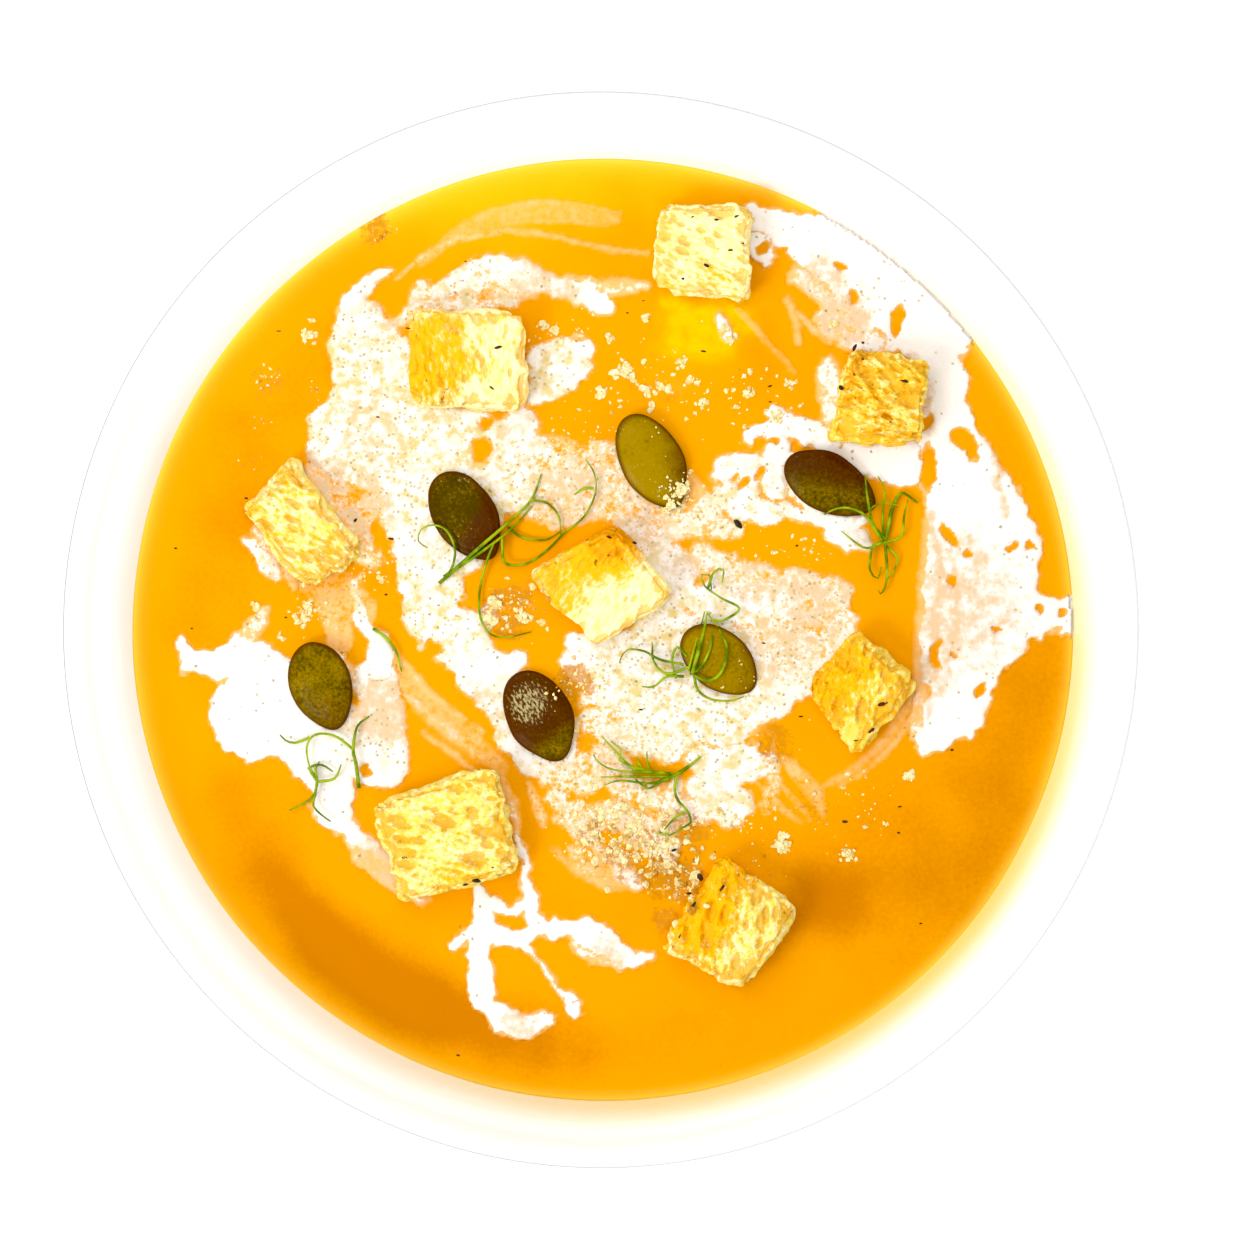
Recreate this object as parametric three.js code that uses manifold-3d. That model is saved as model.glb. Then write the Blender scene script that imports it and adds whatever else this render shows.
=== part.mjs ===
// A white glazed soup bowl filled with pumpkin soup. Cream is swirled over the soup, and
// bread croutons, hulled pumpkin seeds and sprigs of dill lie on it. Millimetres, +Z up; the
// origin is the centre of the foot ring, on the surface that the bowl stands on.
import * as THREE from 'three';
import { mergeVertices } from 'three/addons/utils/BufferGeometryUtils.js';
import Module from 'manifold-3d';

const wasm = await Module();
wasm.setup();

// ---- driving dimensions ----
const RIM_RADIUS = 80;            // outermost radius of the rolled lip
const BOWL_HEIGHT = 57.5;         // top of the lip above the table
const WALL = 4.2;                 // wall thickness below the lip
const LIP_RADIUS = 1.7;           // half the thickness of the rolled lip
const FOOT_RADIUS = 38;           // outside of the foot ring
const FOOT_WIDTH = 4.5;           // flat face of the foot ring, across
const FOOT_HEIGHT = 5;
const FLOOR_TOP = 9.5;            // inside of the bowl at its middle
const SOUP_LEVEL = 47;            // surface of the soup
const SOUP_EDGE = 70.5;           // inside radius of the bowl at that level
const GAP = 0.3;                  // clearance between neighbouring pieces
const CREAM_RISE = 0.5;           // cream above the soup's surface
const CREAM_DEPTH = 1.2;          // and below it
const BOWL_SEGMENTS = 60;
const WELD = 1e-4;                // points nearer to each other than this are one

const COLOURS = {
  porcelain: 0xf8f6f1,
  soup: 0xf59a0c,
  cream: 0xfbf3ea,
  bread: 0xedc767,
  seed: 0x5d5213,
  dill: 0x6f9420,
};

// ---- small helpers ----
const rad = THREE.MathUtils.degToRad;

// Repeatable random numbers from 0 to 1.
function randomSource(seed) {
  let state = seed >>> 0;
  return () => {
    state = (Math.imul(state, 1664525) + 1013904223) >>> 0;
    return state / 4294967296;
  };
}

// A closed mesh as a solid that can be joined and cut.
function toSolid(geometry) {
  const bare = geometry.clone();
  bare.deleteAttribute('normal');
  bare.deleteAttribute('uv');
  const merged = mergeVertices(bare, WELD);
  const corners = [];
  const index = merged.index.array;
  for (let i = 0; i < index.length; i += 3) {
    const [a, b, c] = [index[i], index[i + 1], index[i + 2]];
    if (a !== b && b !== c && c !== a) corners.push(a, b, c);
  }
  const vertProperties = new Float32Array(merged.attributes.position.array);
  const make = (list) => new wasm.Manifold(new wasm.Mesh({
    numProp: 3,
    vertProperties,
    triVerts: new Uint32Array(list),
  }));
  const solid = make(corners);
  if (solid.volume() > 0) return solid;
  for (let i = 0; i < corners.length; i += 3) {
    [corners[i + 1], corners[i + 2]] = [corners[i + 2], corners[i + 1]];
  }
  return make(corners);
}

const joined = (solids) => solids.reduce((whole, next) => whole.add(next));

// The largest body of a solid that its neighbours may have cut in several.
function largestBody(solid) {
  return solid.decompose().reduce((best, next) => (next.volume() > best.volume() ? next : best));
}

function toGeometry(solid) {
  const mesh = solid.getMesh();
  const geometry = new THREE.BufferGeometry();
  const corners = new Float32Array(mesh.vertProperties);
  geometry.setAttribute('position', new THREE.BufferAttribute(corners, 3));
  geometry.setIndex(new THREE.BufferAttribute(new Uint32Array(mesh.triVerts), 1));
  geometry.computeVertexNormals();
  return geometry;
}

function piece(name, solid, colour, roughness) {
  const material = new THREE.MeshStandardMaterial({ color: colour, roughness, metalness: 0 });
  const mesh = new THREE.Mesh(toGeometry(solid), material);
  mesh.name = name;
  return mesh;
}

// A point as it lies from a place, along axes turned by an angle.
function seenFrom(at, turn, x, y) {
  return new THREE.Vector2(x - at[0], y - at[1]).rotateAround(new THREE.Vector2(), -rad(turn));
}

// A profile of [radius, height] points turned about +Z.
function turned(profile, segments = BOWL_SEGMENTS) {
  const points = profile.map(([r, z]) => new THREE.Vector2(r, z));
  return toSolid(new THREE.LatheGeometry(points, segments).rotateX(Math.PI / 2));
}

// ---- the bowl ----
// The inside wall: a shallow floor, a round shoulder, a steep wall and a flared lip.
const INSIDE = [
  [0, FLOOR_TOP],
  [26, FLOOR_TOP + 0.4],
  [37, FLOOR_TOP + 2],
  [47, FLOOR_TOP + 6.3],
  [56, FLOOR_TOP + 14],
  [62.5, FLOOR_TOP + 22],
  [67.3, FLOOR_TOP + 30],
  [SOUP_EDGE, SOUP_LEVEL],
  [72.1, SOUP_LEVEL + 3.1],
  [73.7, SOUP_LEVEL + 5.3],
  [76.4, SOUP_LEVEL + 7.9],
];
const OUTSIDE_FROM = 3;           // first point of the inside that the outside follows
const OUTSIDE_TO = 10;            // and the one after the last
const WALL_POINTS = 8;            // points of the inside up to the soup's surface
const LIP_ANGLES = [125, 90, 55, 20, -15, -50];   // from the lip's inner foot to its underside
const FOOT_EDGE = 0.5;            // worn edge of the foot ring
const FOOT_FLARE = 1.2;           // how much the ring widens towards the bowl
const FOOT_HOLLOW = 1;            // the bowl's underside inside the ring, below the ring's top

// The unit normal, pointing up and inwards, at a point of the inside wall.
function wallNormal(i) {
  const before = INSIDE[Math.max(i - 1, 0)];
  const after = INSIDE[Math.min(i + 1, INSIDE.length - 1)];
  const along = new THREE.Vector2(after[0] - before[0], after[1] - before[1]).normalize();
  return [-along.y, along.x];
}

// The inside wall moved along its own normal.
function wallOffset(distance, first, last) {
  return INSIDE.slice(first, last).map(([r, z], i) => {
    const [nr, nz] = wallNormal(i + first);
    return [Math.max(r + nr * distance, 0), z + nz * distance];
  });
}

// Points of the rolled lip, from its inner foot over the top to its underside.
function lip() {
  const centre = [RIM_RADIUS - LIP_RADIUS, BOWL_HEIGHT - LIP_RADIUS];
  return LIP_ANGLES.map((angle) => [
    centre[0] + LIP_RADIUS * Math.cos(rad(angle)),
    centre[1] + LIP_RADIUS * Math.sin(rad(angle)),
  ]);
}

function makeBowl() {
  const outside = wallOffset(-WALL, OUTSIDE_FROM, OUTSIDE_TO).reverse();
  const footInner = FOOT_RADIUS - FOOT_EDGE - FOOT_WIDTH;
  const foot = [
    [FOOT_RADIUS + FOOT_FLARE, FOOT_HEIGHT],
    [FOOT_RADIUS, FOOT_EDGE],
    [FOOT_RADIUS - FOOT_EDGE, 0],
    [footInner, 0],
    [footInner - FOOT_FLARE, FOOT_HEIGHT - FOOT_FLARE],
    [0, FOOT_HEIGHT - FOOT_HOLLOW],
  ];
  return turned([...INSIDE, ...lip(), ...outside, ...foot]);
}

// ---- the cream ----
// Each stroke of poured cream is a smooth line of [x, y, half width], round at both ends.
const CREAM = {
  // the big patch, from the upper left through the middle
  cream_main: [
    [[-32.4, 53.4, 0.8], [-36.6, 49, 3], [-35.6, 41, 5.2], [-35, 31, 8], [-30, 22, 6]],
    [[-34, 27, 6.5], [-22, 27, 5.5], [-10, 24, 4.2], [0, 20.4, 3.2]],
    [[-32.5, 47.5, 2], [-25, 50.6, 1.9], [-16, 53.6, 2.6], [-4, 51.8, 1.8], [6, 51, 0.8]],
    [[-2.4, 42, 1.7], [-7, 39.6, 3.6], [-9, 35, 2.6], [-13, 28, 4]],
    [[-29, 18, 4], [-26.5, 8, 4], [-24, -1, 4], [-16.6, -6.4, 3]],
    [[0, 20.4, 3], [9, 16, 2.6], [17, 18.4, 3.6], [22, 24, 3], [26, 28, 2.8], [37, 25.6, 2.6],
      [45.5, 24.8, 1.8]],
    [[26, 25, 3], [27, 19.8, 2], [32, 17, 1.6], [39, 14.6, 1.4]],
    [[14, 16, 2.8], [15, 8, 3.2], [26, 4, 5.5], [29, -6, 5.4]],
    [[13, 3, 3.2], [8, -6, 6], [10, -14, 5.8], [19, -19, 6.2], [17, -25.5, 3]],
    [[3, -10, 4], [-1, -17, 4], [-7, -21.5, 3], [-15, -14, 1.4], [-16.6, -6.4, 2]],
    [[9, -21, 4.5], [2, -25.5, 3.4], [-4, -26.6, 2]],
  ],
  // the arc that follows the right-hand wall
  cream_right: [
    [[25, 61, 2.8], [38, 53, 5], [49, 42, 4.6], [54.5, 27, 5], [57.3, 11, 7.8], [54.2, -4, 6],
      [49.5, -15.6, 3]],
    [[36, 59, 3.6], [47, 49.5, 4.4]],
    [[62, 1.8, 3.2], [69.5, 1.4, 3]],
  ],
  // the splash at the lower left, with its tail under a crouton
  cream_left: [
    [[-63.6, -2.6, 1.2], [-59, -5, 2.3], [-53, -6, 4], [-53, -14, 5.8], [-44.5, -18.5, 5]],
    [[-44.5, -18.5, 5], [-40.5, -25, 3.2], [-36.5, -31.4, 1.6], [-27, -39.6, 1.2]],
    [[-44, -17, 4], [-34, -18, 4.4], [-32.6, -8, 3], [-35.8, 1, 1.1]],
  ],
  // the squiggle at the bottom, with a thread that ends in a drop
  cream_bottom: [
    [[-18.4, -42, 1.3], [-18.2, -50, 1.8], [-16.4, -57.4, 2.1], [-9, -59, 1.8]],
    [[-21.8, -47, 0.9], [-12, -45.8, 1.6], [-4, -45, 1.9], [2.4, -48.6, 2], [7.6, -49, 0.7]],
    [[-11.6, -34, 1], [-10.6, -40.6, 1.2], [-9, -45, 1.4]],
    [[-13, -46.4, 1], [-8, -51.6, 0.8], [-5, -55.2, 0.8], [-3.7, -57.2, 1.3]],
  ],
};
// Gaps in the cream where the soup shows: [x, y, half length, half width, turn].
const CREAM_HOLES = [
  [-18, 27, 2.2, 1.6, 70],
  [44.4, 45.8, 2.6, 1.3, 90],
  [49.3, 24.2, 3.4, 1.5, 88],
  [54.6, 27.8, 2.3, 1.8, 20],
  [52.2, 13.8, 2.4, 1.3, -50],
];
const STROKE_STEP = 1.2;          // spacing of the circles that fill a stroke
const OUTLINE_GRID = 1.25;        // squares on which an outline is traced
const OUTLINE_BEND = 0.15;        // smaller bends are straightened
const SMALLEST_PATCH = 1.5;       // smaller outlines are left out, in square millimetres

// A stroke as closely spaced circles along its smooth line.
function strokeCircles(stroke) {
  const curve = new THREE.CatmullRomCurve3(stroke.map(([x, y, r]) => new THREE.Vector3(x, y, r)));
  return curve.getSpacedPoints(Math.max(Math.ceil(curve.getLength() / STROKE_STEP), 2));
}

const CREAM_CIRCLES = Object.values(CREAM).map((strokes) => strokes.flatMap(strokeCircles));

// How far a point lies inside a hole of the cream, about; negative outside it.
function holeCover([hx, hy, long, wide, turn], x, y) {
  const local = seenFrom([hx, hy], turn, x, y);
  return (1 - Math.hypot(local.x / long, local.y / wide)) * wide;
}

// How far a point lies inside the cream that circles stand for; negative outside it.
function creamCover(circles, x, y) {
  let cover = -Infinity;
  for (const circle of circles) {
    cover = Math.max(cover, circle.z - Math.hypot(x - circle.x, y - circle.y));
  }
  const hole = Math.max(...CREAM_HOLES.map((one) => holeCover(one, x, y)));
  return Math.min(cover, -hole);
}

// The corners of one grid square, counter-clockwise from its lower left.
const SQUARE = [[0, 0], [1, 0], [1, 1], [0, 1]];

// How many edges further round the square another edge lies.
const edgesAhead = (from, to) => (to - from + 4) % 4;

// Where a field crosses zero on the edges of one grid square, as [from edge, to edge] pairs.
// An edge that the positive part leaves by pairs with the next one that it enters by.
function squareCrossings(values) {
  const isPositive = values.map((value) => value > 0);
  const leaving = [];
  const entering = [];
  isPositive.forEach((here, i) => {
    const next = isPositive[(i + 1) % 4];
    if (here && !next) leaving.push(i);
    if (!here && next) entering.push(i);
  });
  return leaving.map((edge) => {
    entering.sort((one, other) => edgesAhead(edge, one) - edgesAhead(edge, other));
    return [edge, entering[0]];
  });
}

// The closed outlines of a field's positive part; it lies to the left of each.
function traceOutlines(field) {
  const count = Math.ceil((2 * SOUP_EDGE) / OUTLINE_GRID) + 4;
  const place = (i) => (i - count / 2) * OUTLINE_GRID;
  const rows = Array.from({ length: count + 1 }, (_, j) => (
    Array.from({ length: count + 1 }, (__, i) => field(place(i), place(j)))));
  const steps = new Map();
  for (let j = 0; j < count; j += 1) {
    for (let i = 0; i < count; i += 1) {
      const values = SQUARE.map(([di, dj]) => rows[j + dj][i + di]);
      for (const [from, to] of squareCrossings(values)) {
        const ends = [from, to].map((edge) => edgeCrossing(i, j, edge, values, place));
        steps.set(ends[0].key, ends[1]);
      }
    }
  }
  return linkedLoops(steps);
}

// The crossing point on one edge of a square, with a key that its neighbour shares.
function edgeCrossing(i, j, edge, values, place) {
  const [a, b] = [SQUARE[edge], SQUARE[(edge + 1) % 4]];
  const share = values[edge] / (values[edge] - values[(edge + 1) % 4]);
  const x = place(i + a[0] + (b[0] - a[0]) * share);
  const y = place(j + a[1] + (b[1] - a[1]) * share);
  return { key: `${2 * i + a[0] + b[0]},${2 * j + a[1] + b[1]}`, x, y };
}

// Steps from one crossing to the next, followed round until each loop closes.
function linkedLoops(steps) {
  const loops = [];
  while (steps.size > 0) {
    const loop = [];
    let [key, next] = steps.entries().next().value;
    while (next) {
      loop.push(new THREE.Vector2(next.x, next.y));
      steps.delete(key);
      key = next.key;
      next = steps.get(key);
    }
    loops.push(straightened(loop));
  }
  return loops.filter((loop) => Math.abs(THREE.ShapeUtils.area(loop)) > SMALLEST_PATCH);
}

// An outline without the points that hardly bend it.
function straightened(loop) {
  const kept = [];
  loop.forEach((point, i) => {
    const before = kept.length > 0 ? kept[kept.length - 1] : loop[loop.length - 1];
    const along = loop[(i + 1) % loop.length].clone().sub(before);
    const bend = Math.abs(along.cross(point.clone().sub(before))) / along.length();
    if (bend > OUTLINE_BEND) kept.push(point);
  });
  return kept;
}

// A flat outline as a slab from one height to another.
function slab(outline, low, high) {
  const options = { depth: high - low, bevelEnabled: false };
  const block = new THREE.ExtrudeGeometry(new THREE.Shape(outline), options);
  return toSolid(block.translate(0, 0, low));
}

// The cream of one node, or with grow the room that the soup leaves for it.
function creamSlab(circles, grow) {
  const low = SOUP_LEVEL - CREAM_DEPTH - grow;
  const high = SOUP_LEVEL + CREAM_RISE + grow;
  const reach = SOUP_EDGE - 2 * GAP + 2 * grow;
  const loops = traceOutlines((x, y) => (
    Math.min(creamCover(circles, x, y) + grow, reach - Math.hypot(x, y))));
  const outer = loops.filter((loop) => THREE.ShapeUtils.area(loop) > 0);
  const holes = loops.filter((loop) => THREE.ShapeUtils.area(loop) < 0);
  const whole = joined(outer.map((loop) => slab(loop, low, high)));
  return holes.reduce((rest, loop) => rest.subtract(slab(loop, low - 1, high + 1)), whole);
}

// ---- the croutons ----
// at: middle of the top; size: across, along, deep; rise: top above the soup; lean: tilt.
const CROUTONS = [
  { at: [14.8, 56.2], size: [14.4, 15.4, 9.5], turn: -3, rise: 6, lean: [4, -3] },
  { at: [-19.8, 40.4], size: [18.4, 15.6, 13], turn: -2, rise: 6.2, lean: [-3, 6] },
  { at: [42, 34.5], size: [12.8, 14.6, 13], turn: -7, rise: 6.4, lean: [-5, 4] },
  { at: [-45.6, 15.4], size: [17.6, 12.2, 12], turn: -55, rise: 5, lean: [4, 5] },
  { at: [0.6, 6.3], size: [15.6, 14.6, 12.5], turn: 42, rise: 6, lean: [5, -5] },
  { at: [38.4, -9.2], size: [13.6, 13, 12], turn: 43, rise: 5.4, lean: [-4, -5] },
  { at: [-23.6, -30.4], size: [18.8, 17.6, 14], turn: 13, rise: 7, lean: [3, 3] },
  { at: [19.2, -43.8], size: [16.4, 15.4, 13], turn: 57, rise: 6.6, lean: [-4, 4] },
];
const CRUMB_RELIEF = 1;           // depth of the pores and broken edges
const CRUMB_GRID = 4;             // squares along each edge of a crouton
const CRUMB_SEED = 11;            // seed of the first crouton's relief
const CORNER = 1.3;               // how far the corners are worn off
const WET_SHARE = 0.15;           // share of that relief below the soup's surface
const WET_FROM = 1;               // the wet part starts this far above the surface
const SKIN_SHARE = 0.49;          // a point further out than this share of a side is on a face

// A crouton's box is placed from the middle of its top face.
function placeCrouton(geometry, { at, turn, rise, lean, size }) {
  geometry.translate(0, 0, -size[2] / 2);
  geometry.rotateX(rad(lean[0]));
  geometry.rotateY(rad(lean[1]));
  geometry.rotateZ(rad(turn));
  return geometry.translate(at[0], at[1], SOUP_LEVEL + rise);
}

// Every point of the box above the soup sinks in by a random depth, most at the edges.
function breadBox({ size, rise }, random) {
  const geometry = new THREE.BoxGeometry(...size, CRUMB_GRID, CRUMB_GRID, CRUMB_GRID);
  const box = mergeVertices(geometry.deleteAttribute('normal').deleteAttribute('uv'), WELD);
  const position = box.attributes.position;
  const point = new THREE.Vector3();
  for (let i = 0; i < position.count; i += 1) {
    point.fromBufferAttribute(position, i);
    const outer = size.map((length, axis) => (
      Math.abs(point.getComponent(axis)) > SKIN_SHARE * length));
    const faces = outer.filter(Boolean).length;
    const wet = size[2] / 2 - point.z > rise - WET_FROM;
    const depth = (CRUMB_RELIEF * random() + (CORNER * (faces - 1)) / 2) * (wet ? WET_SHARE : 1);
    outer.forEach((isOuter, axis) => {
      const length = point.getComponent(axis);
      if (isOuter) point.setComponent(axis, length - Math.sign(length) * depth);
    });
    position.setXYZ(i, point.x, point.y, point.z);
  }
  return box;
}

function makeCrouton(crouton, i) {
  const box = breadBox(crouton, randomSource(CRUMB_SEED + i));
  return toSolid(placeCrouton(box, crouton));
}

// The room that soup and cream leave round a crouton.
function croutonRoom(crouton) {
  const size = crouton.size.map((length) => length + 2 * GAP);
  const box = new THREE.BoxGeometry(...size).translate(0, 0, GAP);
  return toSolid(placeCrouton(box, crouton));
}

// ---- the pumpkin seeds ----
// at: middle; turn: heading of the long axis; size: length and width; lean: tilt.
const SEEDS = [
  { at: [-20.3, 17], turn: -57, size: [15, 9.6], lean: [5, -3] },
  { at: [7.7, 25.2], turn: -61, size: [15.6, 9.4], lean: [-6, 3] },
  { at: [34.4, 21.8], turn: -28, size: [15, 8.8], lean: [3, 4] },
  { at: [-42, -8.5], turn: -71, size: [13.8, 9.4], lean: [6, 3] },
  { at: [-9.2, -13], turn: -62, size: [14.8, 10], lean: [-4, -4] },
  { at: [17.8, -4.6], turn: -40, size: [13.4, 9], lean: [3, 6] },
];
const SEED_THICKNESS = 3;
const SEED_RISE = 1.4;            // middle of a seed above the soup
const SEED_TIP = 0.25;            // how much narrower the pointed end is
const SEED_ROUND = 14;            // segments round a seed
const SEED_RINGS = 6;             // and from its top to its underside

// A flat lens, egg-shaped in plan, with its pointed end along the heading.
function seedSolid({ at, turn, size, lean }, grow) {
  const lens = new THREE.SphereGeometry(1, SEED_ROUND, SEED_RINGS).rotateX(Math.PI / 2);
  const position = lens.attributes.position;
  for (let i = 0; i < position.count; i += 1) {
    const x = position.getX(i);
    const narrow = 1 - SEED_TIP * Math.max(x, 0) ** 2;
    position.setXYZ(
      i,
      x * (size[0] / 2 + grow),
      position.getY(i) * narrow * (size[1] / 2 + grow),
      position.getZ(i) * (SEED_THICKNESS / 2 + grow),
    );
  }
  lens.rotateX(rad(lean[0])).rotateY(rad(lean[1])).rotateZ(rad(turn));
  return toSolid(lens.translate(at[0], at[1], SOUP_LEVEL + SEED_RISE));
}

// ---- the dill ----
// Each sprig's threads are smooth lines of [x, y] that start in its stem.
const SPRIGS = [
  [
    [[-9, 23.2], [-10.6, 19.4], [-14.6, 15.4], [-19.5, 11], [-24.3, 7]],
    [[-24.3, 7], [-21.8, 11.5], [-24.8, 15.8], [-27.4, 13.6], [-26, 12.2]],
    [[-10.6, 19.4], [-7, 18.4], [-6, 14.4]],
    [[-14.6, 15.4], [-14.6, 10.2], [-9.5, 10.8], [-2.6, 16.8], [-0.9, 22], [-2.3, 25.6]],
    [[-15.6, 14.2], [-18.2, 6], [-17, -0.4], [-10.6, -0.4]],
  ],
  [
    [[42.4, 13], [43.2, 17.5], [45.6, 20.2], [47.4, 18.8]],
    [[42.4, 13], [40.4, 9.4], [42.3, 5.8]],
    [[42.4, 13], [39.4, 17.2], [36, 18.2], [33.6, 17]],
    [[42.4, 13], [38.4, 12.8], [36.2, 14.8]],
    [[42.4, 13], [42, 18.4], [42.6, 22.8]],
    [[42.4, 13], [45.4, 14.6], [45, 18]],
  ],
  [
    [[16, 2.8], [15.2, -1.6], [13.8, -6.4]],
    [[16, 2.8], [18.8, -1.6], [17.6, -7], [13.8, -6.4]],
    [[16, 2.8], [20.8, 3.2], [15.6, 6.4], [15.6, 8.6], [16.6, 6.6]],
    [[13.8, -6.4], [9.4, -6.4], [7.7, -2]],
    [[13.8, -6.4], [8.4, -4.2], [4.4, -2.9], [2.8, -5]],
    [[13.8, -6.4], [9.6, -7.4], [6.4, -8.6]],
  ],
  [
    [[-36.4, -23.8], [-37.1, -18.2], [-36.6, -14.6], [-34.8, -13]],
    [[-37.1, -18.2], [-41.4, -15.6], [-44.2, -18], [-42.6, -22.6]],
    [[-42.6, -22.6], [-43.2, -26.4], [-40.6, -28.8]],
    [[-42.6, -22.6], [-40.4, -22.4], [-39, -20.2]],
    [[-41.4, -15.6], [-43.6, -16.2], [-46.2, -17], [-48.4, -15.8]],
  ],
  [
    [[15, -19], [11.3, -21.7], [4, -21.2], [-1, -19]],
    [[11.3, -21.7], [4.6, -20.4], [0.2, -16.2]],
    [[11.3, -21.7], [5.6, -22.4], [0, -22.2]],
    [[11.3, -21.7], [7, -23.6], [0.4, -23.2]],
    [[11.3, -21.7], [11.4, -25.4], [13.4, -28.4], [10.4, -30.8], [8.4, -30.4]],
  ],
  [
    [[-34.3, 0.2], [-31, -2.8], [-30, -6.3]],
  ],
];
const THREAD_RADIUS = 0.36;
const STEM_RADIUS = 0.55;
const THREAD_STEP = 3.2;          // spacing of the sections along a thread
const THREAD_LIFT = 0.9;          // a thread's middle above the cream
const SEED_MARGIN = 1.4;          // a thread starts to climb this far from a seed
const SEED_CLEARANCE = 0.75;      // a thread's middle above a seed, with no cream between

// Height above the soup of a thread that lies on a seed, or nothing away from the seeds.
function seedTop(x, y) {
  let top = 0;
  for (const { at, turn, size } of SEEDS) {
    const local = seenFrom(at, turn, x, y);
    const [long, wide] = size.map((length) => length / 2 + SEED_MARGIN);
    const share = Math.hypot(local.x / long, local.y / wide);
    if (share < 1) {
      const dome = (SEED_THICKNESS / 2) * Math.sqrt(1 - share ** 2);
      top = Math.max(top, SEED_RISE + SEED_CLEARANCE + dome);
    }
  }
  return top;
}

// A thread of dill lies over the cream and climbs over any seed in its way.
function threadSolid(route, radius) {
  const flat = new THREE.CatmullRomCurve3(route.map(([x, y]) => new THREE.Vector3(x, y, 0)));
  const steps = Math.max(Math.ceil(flat.getLength() / THREAD_STEP), 3);
  const points = flat.getSpacedPoints(steps);
  for (const point of points) {
    point.z = SOUP_LEVEL + THREAD_LIFT + Math.max(seedTop(point.x, point.y), CREAM_RISE);
  }
  const section = new THREE.Shape();
  section.absarc(0, 0, radius, 0, 2 * Math.PI, false);
  const path = new THREE.CatmullRomCurve3(points);
  const options = { steps, extrudePath: path, curveSegments: 2, bevelEnabled: false };
  return toSolid(new THREE.ExtrudeGeometry(section, options));
}

function makeSprig([stem, ...threads]) {
  const solids = threads.map((route) => threadSolid(route, THREAD_RADIUS));
  return largestBody(joined([threadSolid(stem, STEM_RADIUS), ...solids]));
}

// ---- the crumbs ----
// Broken bread lies in loose drifts: [x, y, spread across, spread along, how many].
const CRUMB_DRIFTS = [
  [8, 37, 9, 6, 14],
  [4, -33, 8, 5, 14],
  [22, 33, 7, 5, 7],
  [-14, 4, 4, 4, 4],
];
const CRUMB_RADII = [0.66, 1.43];     // smallest and largest crumb
const CRUMB_SHAPE = [1.1, 0.9, 0.7];  // a crumb along, across and up, as shares of its radius
const CRUMB_SINK = 0.25;              // middle of a crumb above the soup, likewise
const DRIFT_SEED = 5;

function crumbPlaces() {
  const random = randomSource(DRIFT_SEED);
  const places = [];
  for (const [x, y, across, along, count] of CRUMB_DRIFTS) {
    for (let i = 0; i < count; i += 1) {
      const turn = 2 * Math.PI * random();
      const reach = Math.sqrt(random());
      const at = [x + across * reach * Math.cos(turn), y + along * reach * Math.sin(turn)];
      places.push({ at, turn, radius: THREE.MathUtils.lerp(...CRUMB_RADII, random()) });
    }
  }
  return places;
}

// A crumb stays where it lies wholly on the soup, clear of everything else.
function crumbIsClear({ at, radius }, others) {
  const room = radius + 2 * GAP;
  const distance = (thing) => Math.hypot(at[0] - thing.at[0], at[1] - thing.at[1]);
  const cover = Math.max(...CREAM_CIRCLES.map((circles) => creamCover(circles, ...at)));
  return cover < -room
    && seedTop(...at) === 0
    && CROUTONS.every((crouton) => (
      distance(crouton) > Math.hypot(crouton.size[0], crouton.size[1]) / 2 + room))
    && others.every((other) => distance(other) > room + other.radius);
}

function crumbSolid({ at, radius, turn }) {
  const grain = new THREE.OctahedronGeometry(radius, 0).scale(...CRUMB_SHAPE).rotateZ(turn);
  return toSolid(grain.translate(at[0], at[1], SOUP_LEVEL + CRUMB_SINK * radius));
}

// ---- the soup ----
const HUMP = { at: [17, 40.4], size: [21, 18], turn: 12, rise: 1.8 };
const HUMP_ROUND = 20;            // segments round the hump
const HUMP_RINGS = 8;             // and from its top to its underside

// The soup swells up over a crouton that has sunk just below its surface.
function soupHump() {
  const mound = new THREE.SphereGeometry(1, HUMP_ROUND, HUMP_RINGS).rotateX(Math.PI / 2);
  mound.scale(HUMP.size[0] / 2, HUMP.size[1] / 2, HUMP.rise).rotateZ(rad(HUMP.turn));
  return toSolid(mound.translate(HUMP.at[0], HUMP.at[1], SOUP_LEVEL));
}

function makeSoup(rooms) {
  const below = wallOffset(GAP, 0, WALL_POINTS);
  below[0] = [0, FLOOR_TOP + GAP];
  below[below.length - 1] = [SOUP_EDGE - GAP, SOUP_LEVEL];
  const crumbs = [];
  for (const place of crumbPlaces()) {
    if (crumbIsClear(place, crumbs)) crumbs.push(place);
  }
  const body = turned([...below, [0, SOUP_LEVEL]]);
  return joined([body, soupHump()]).subtract(joined(rooms)).add(joined(crumbs.map(crumbSolid)));
}

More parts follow.
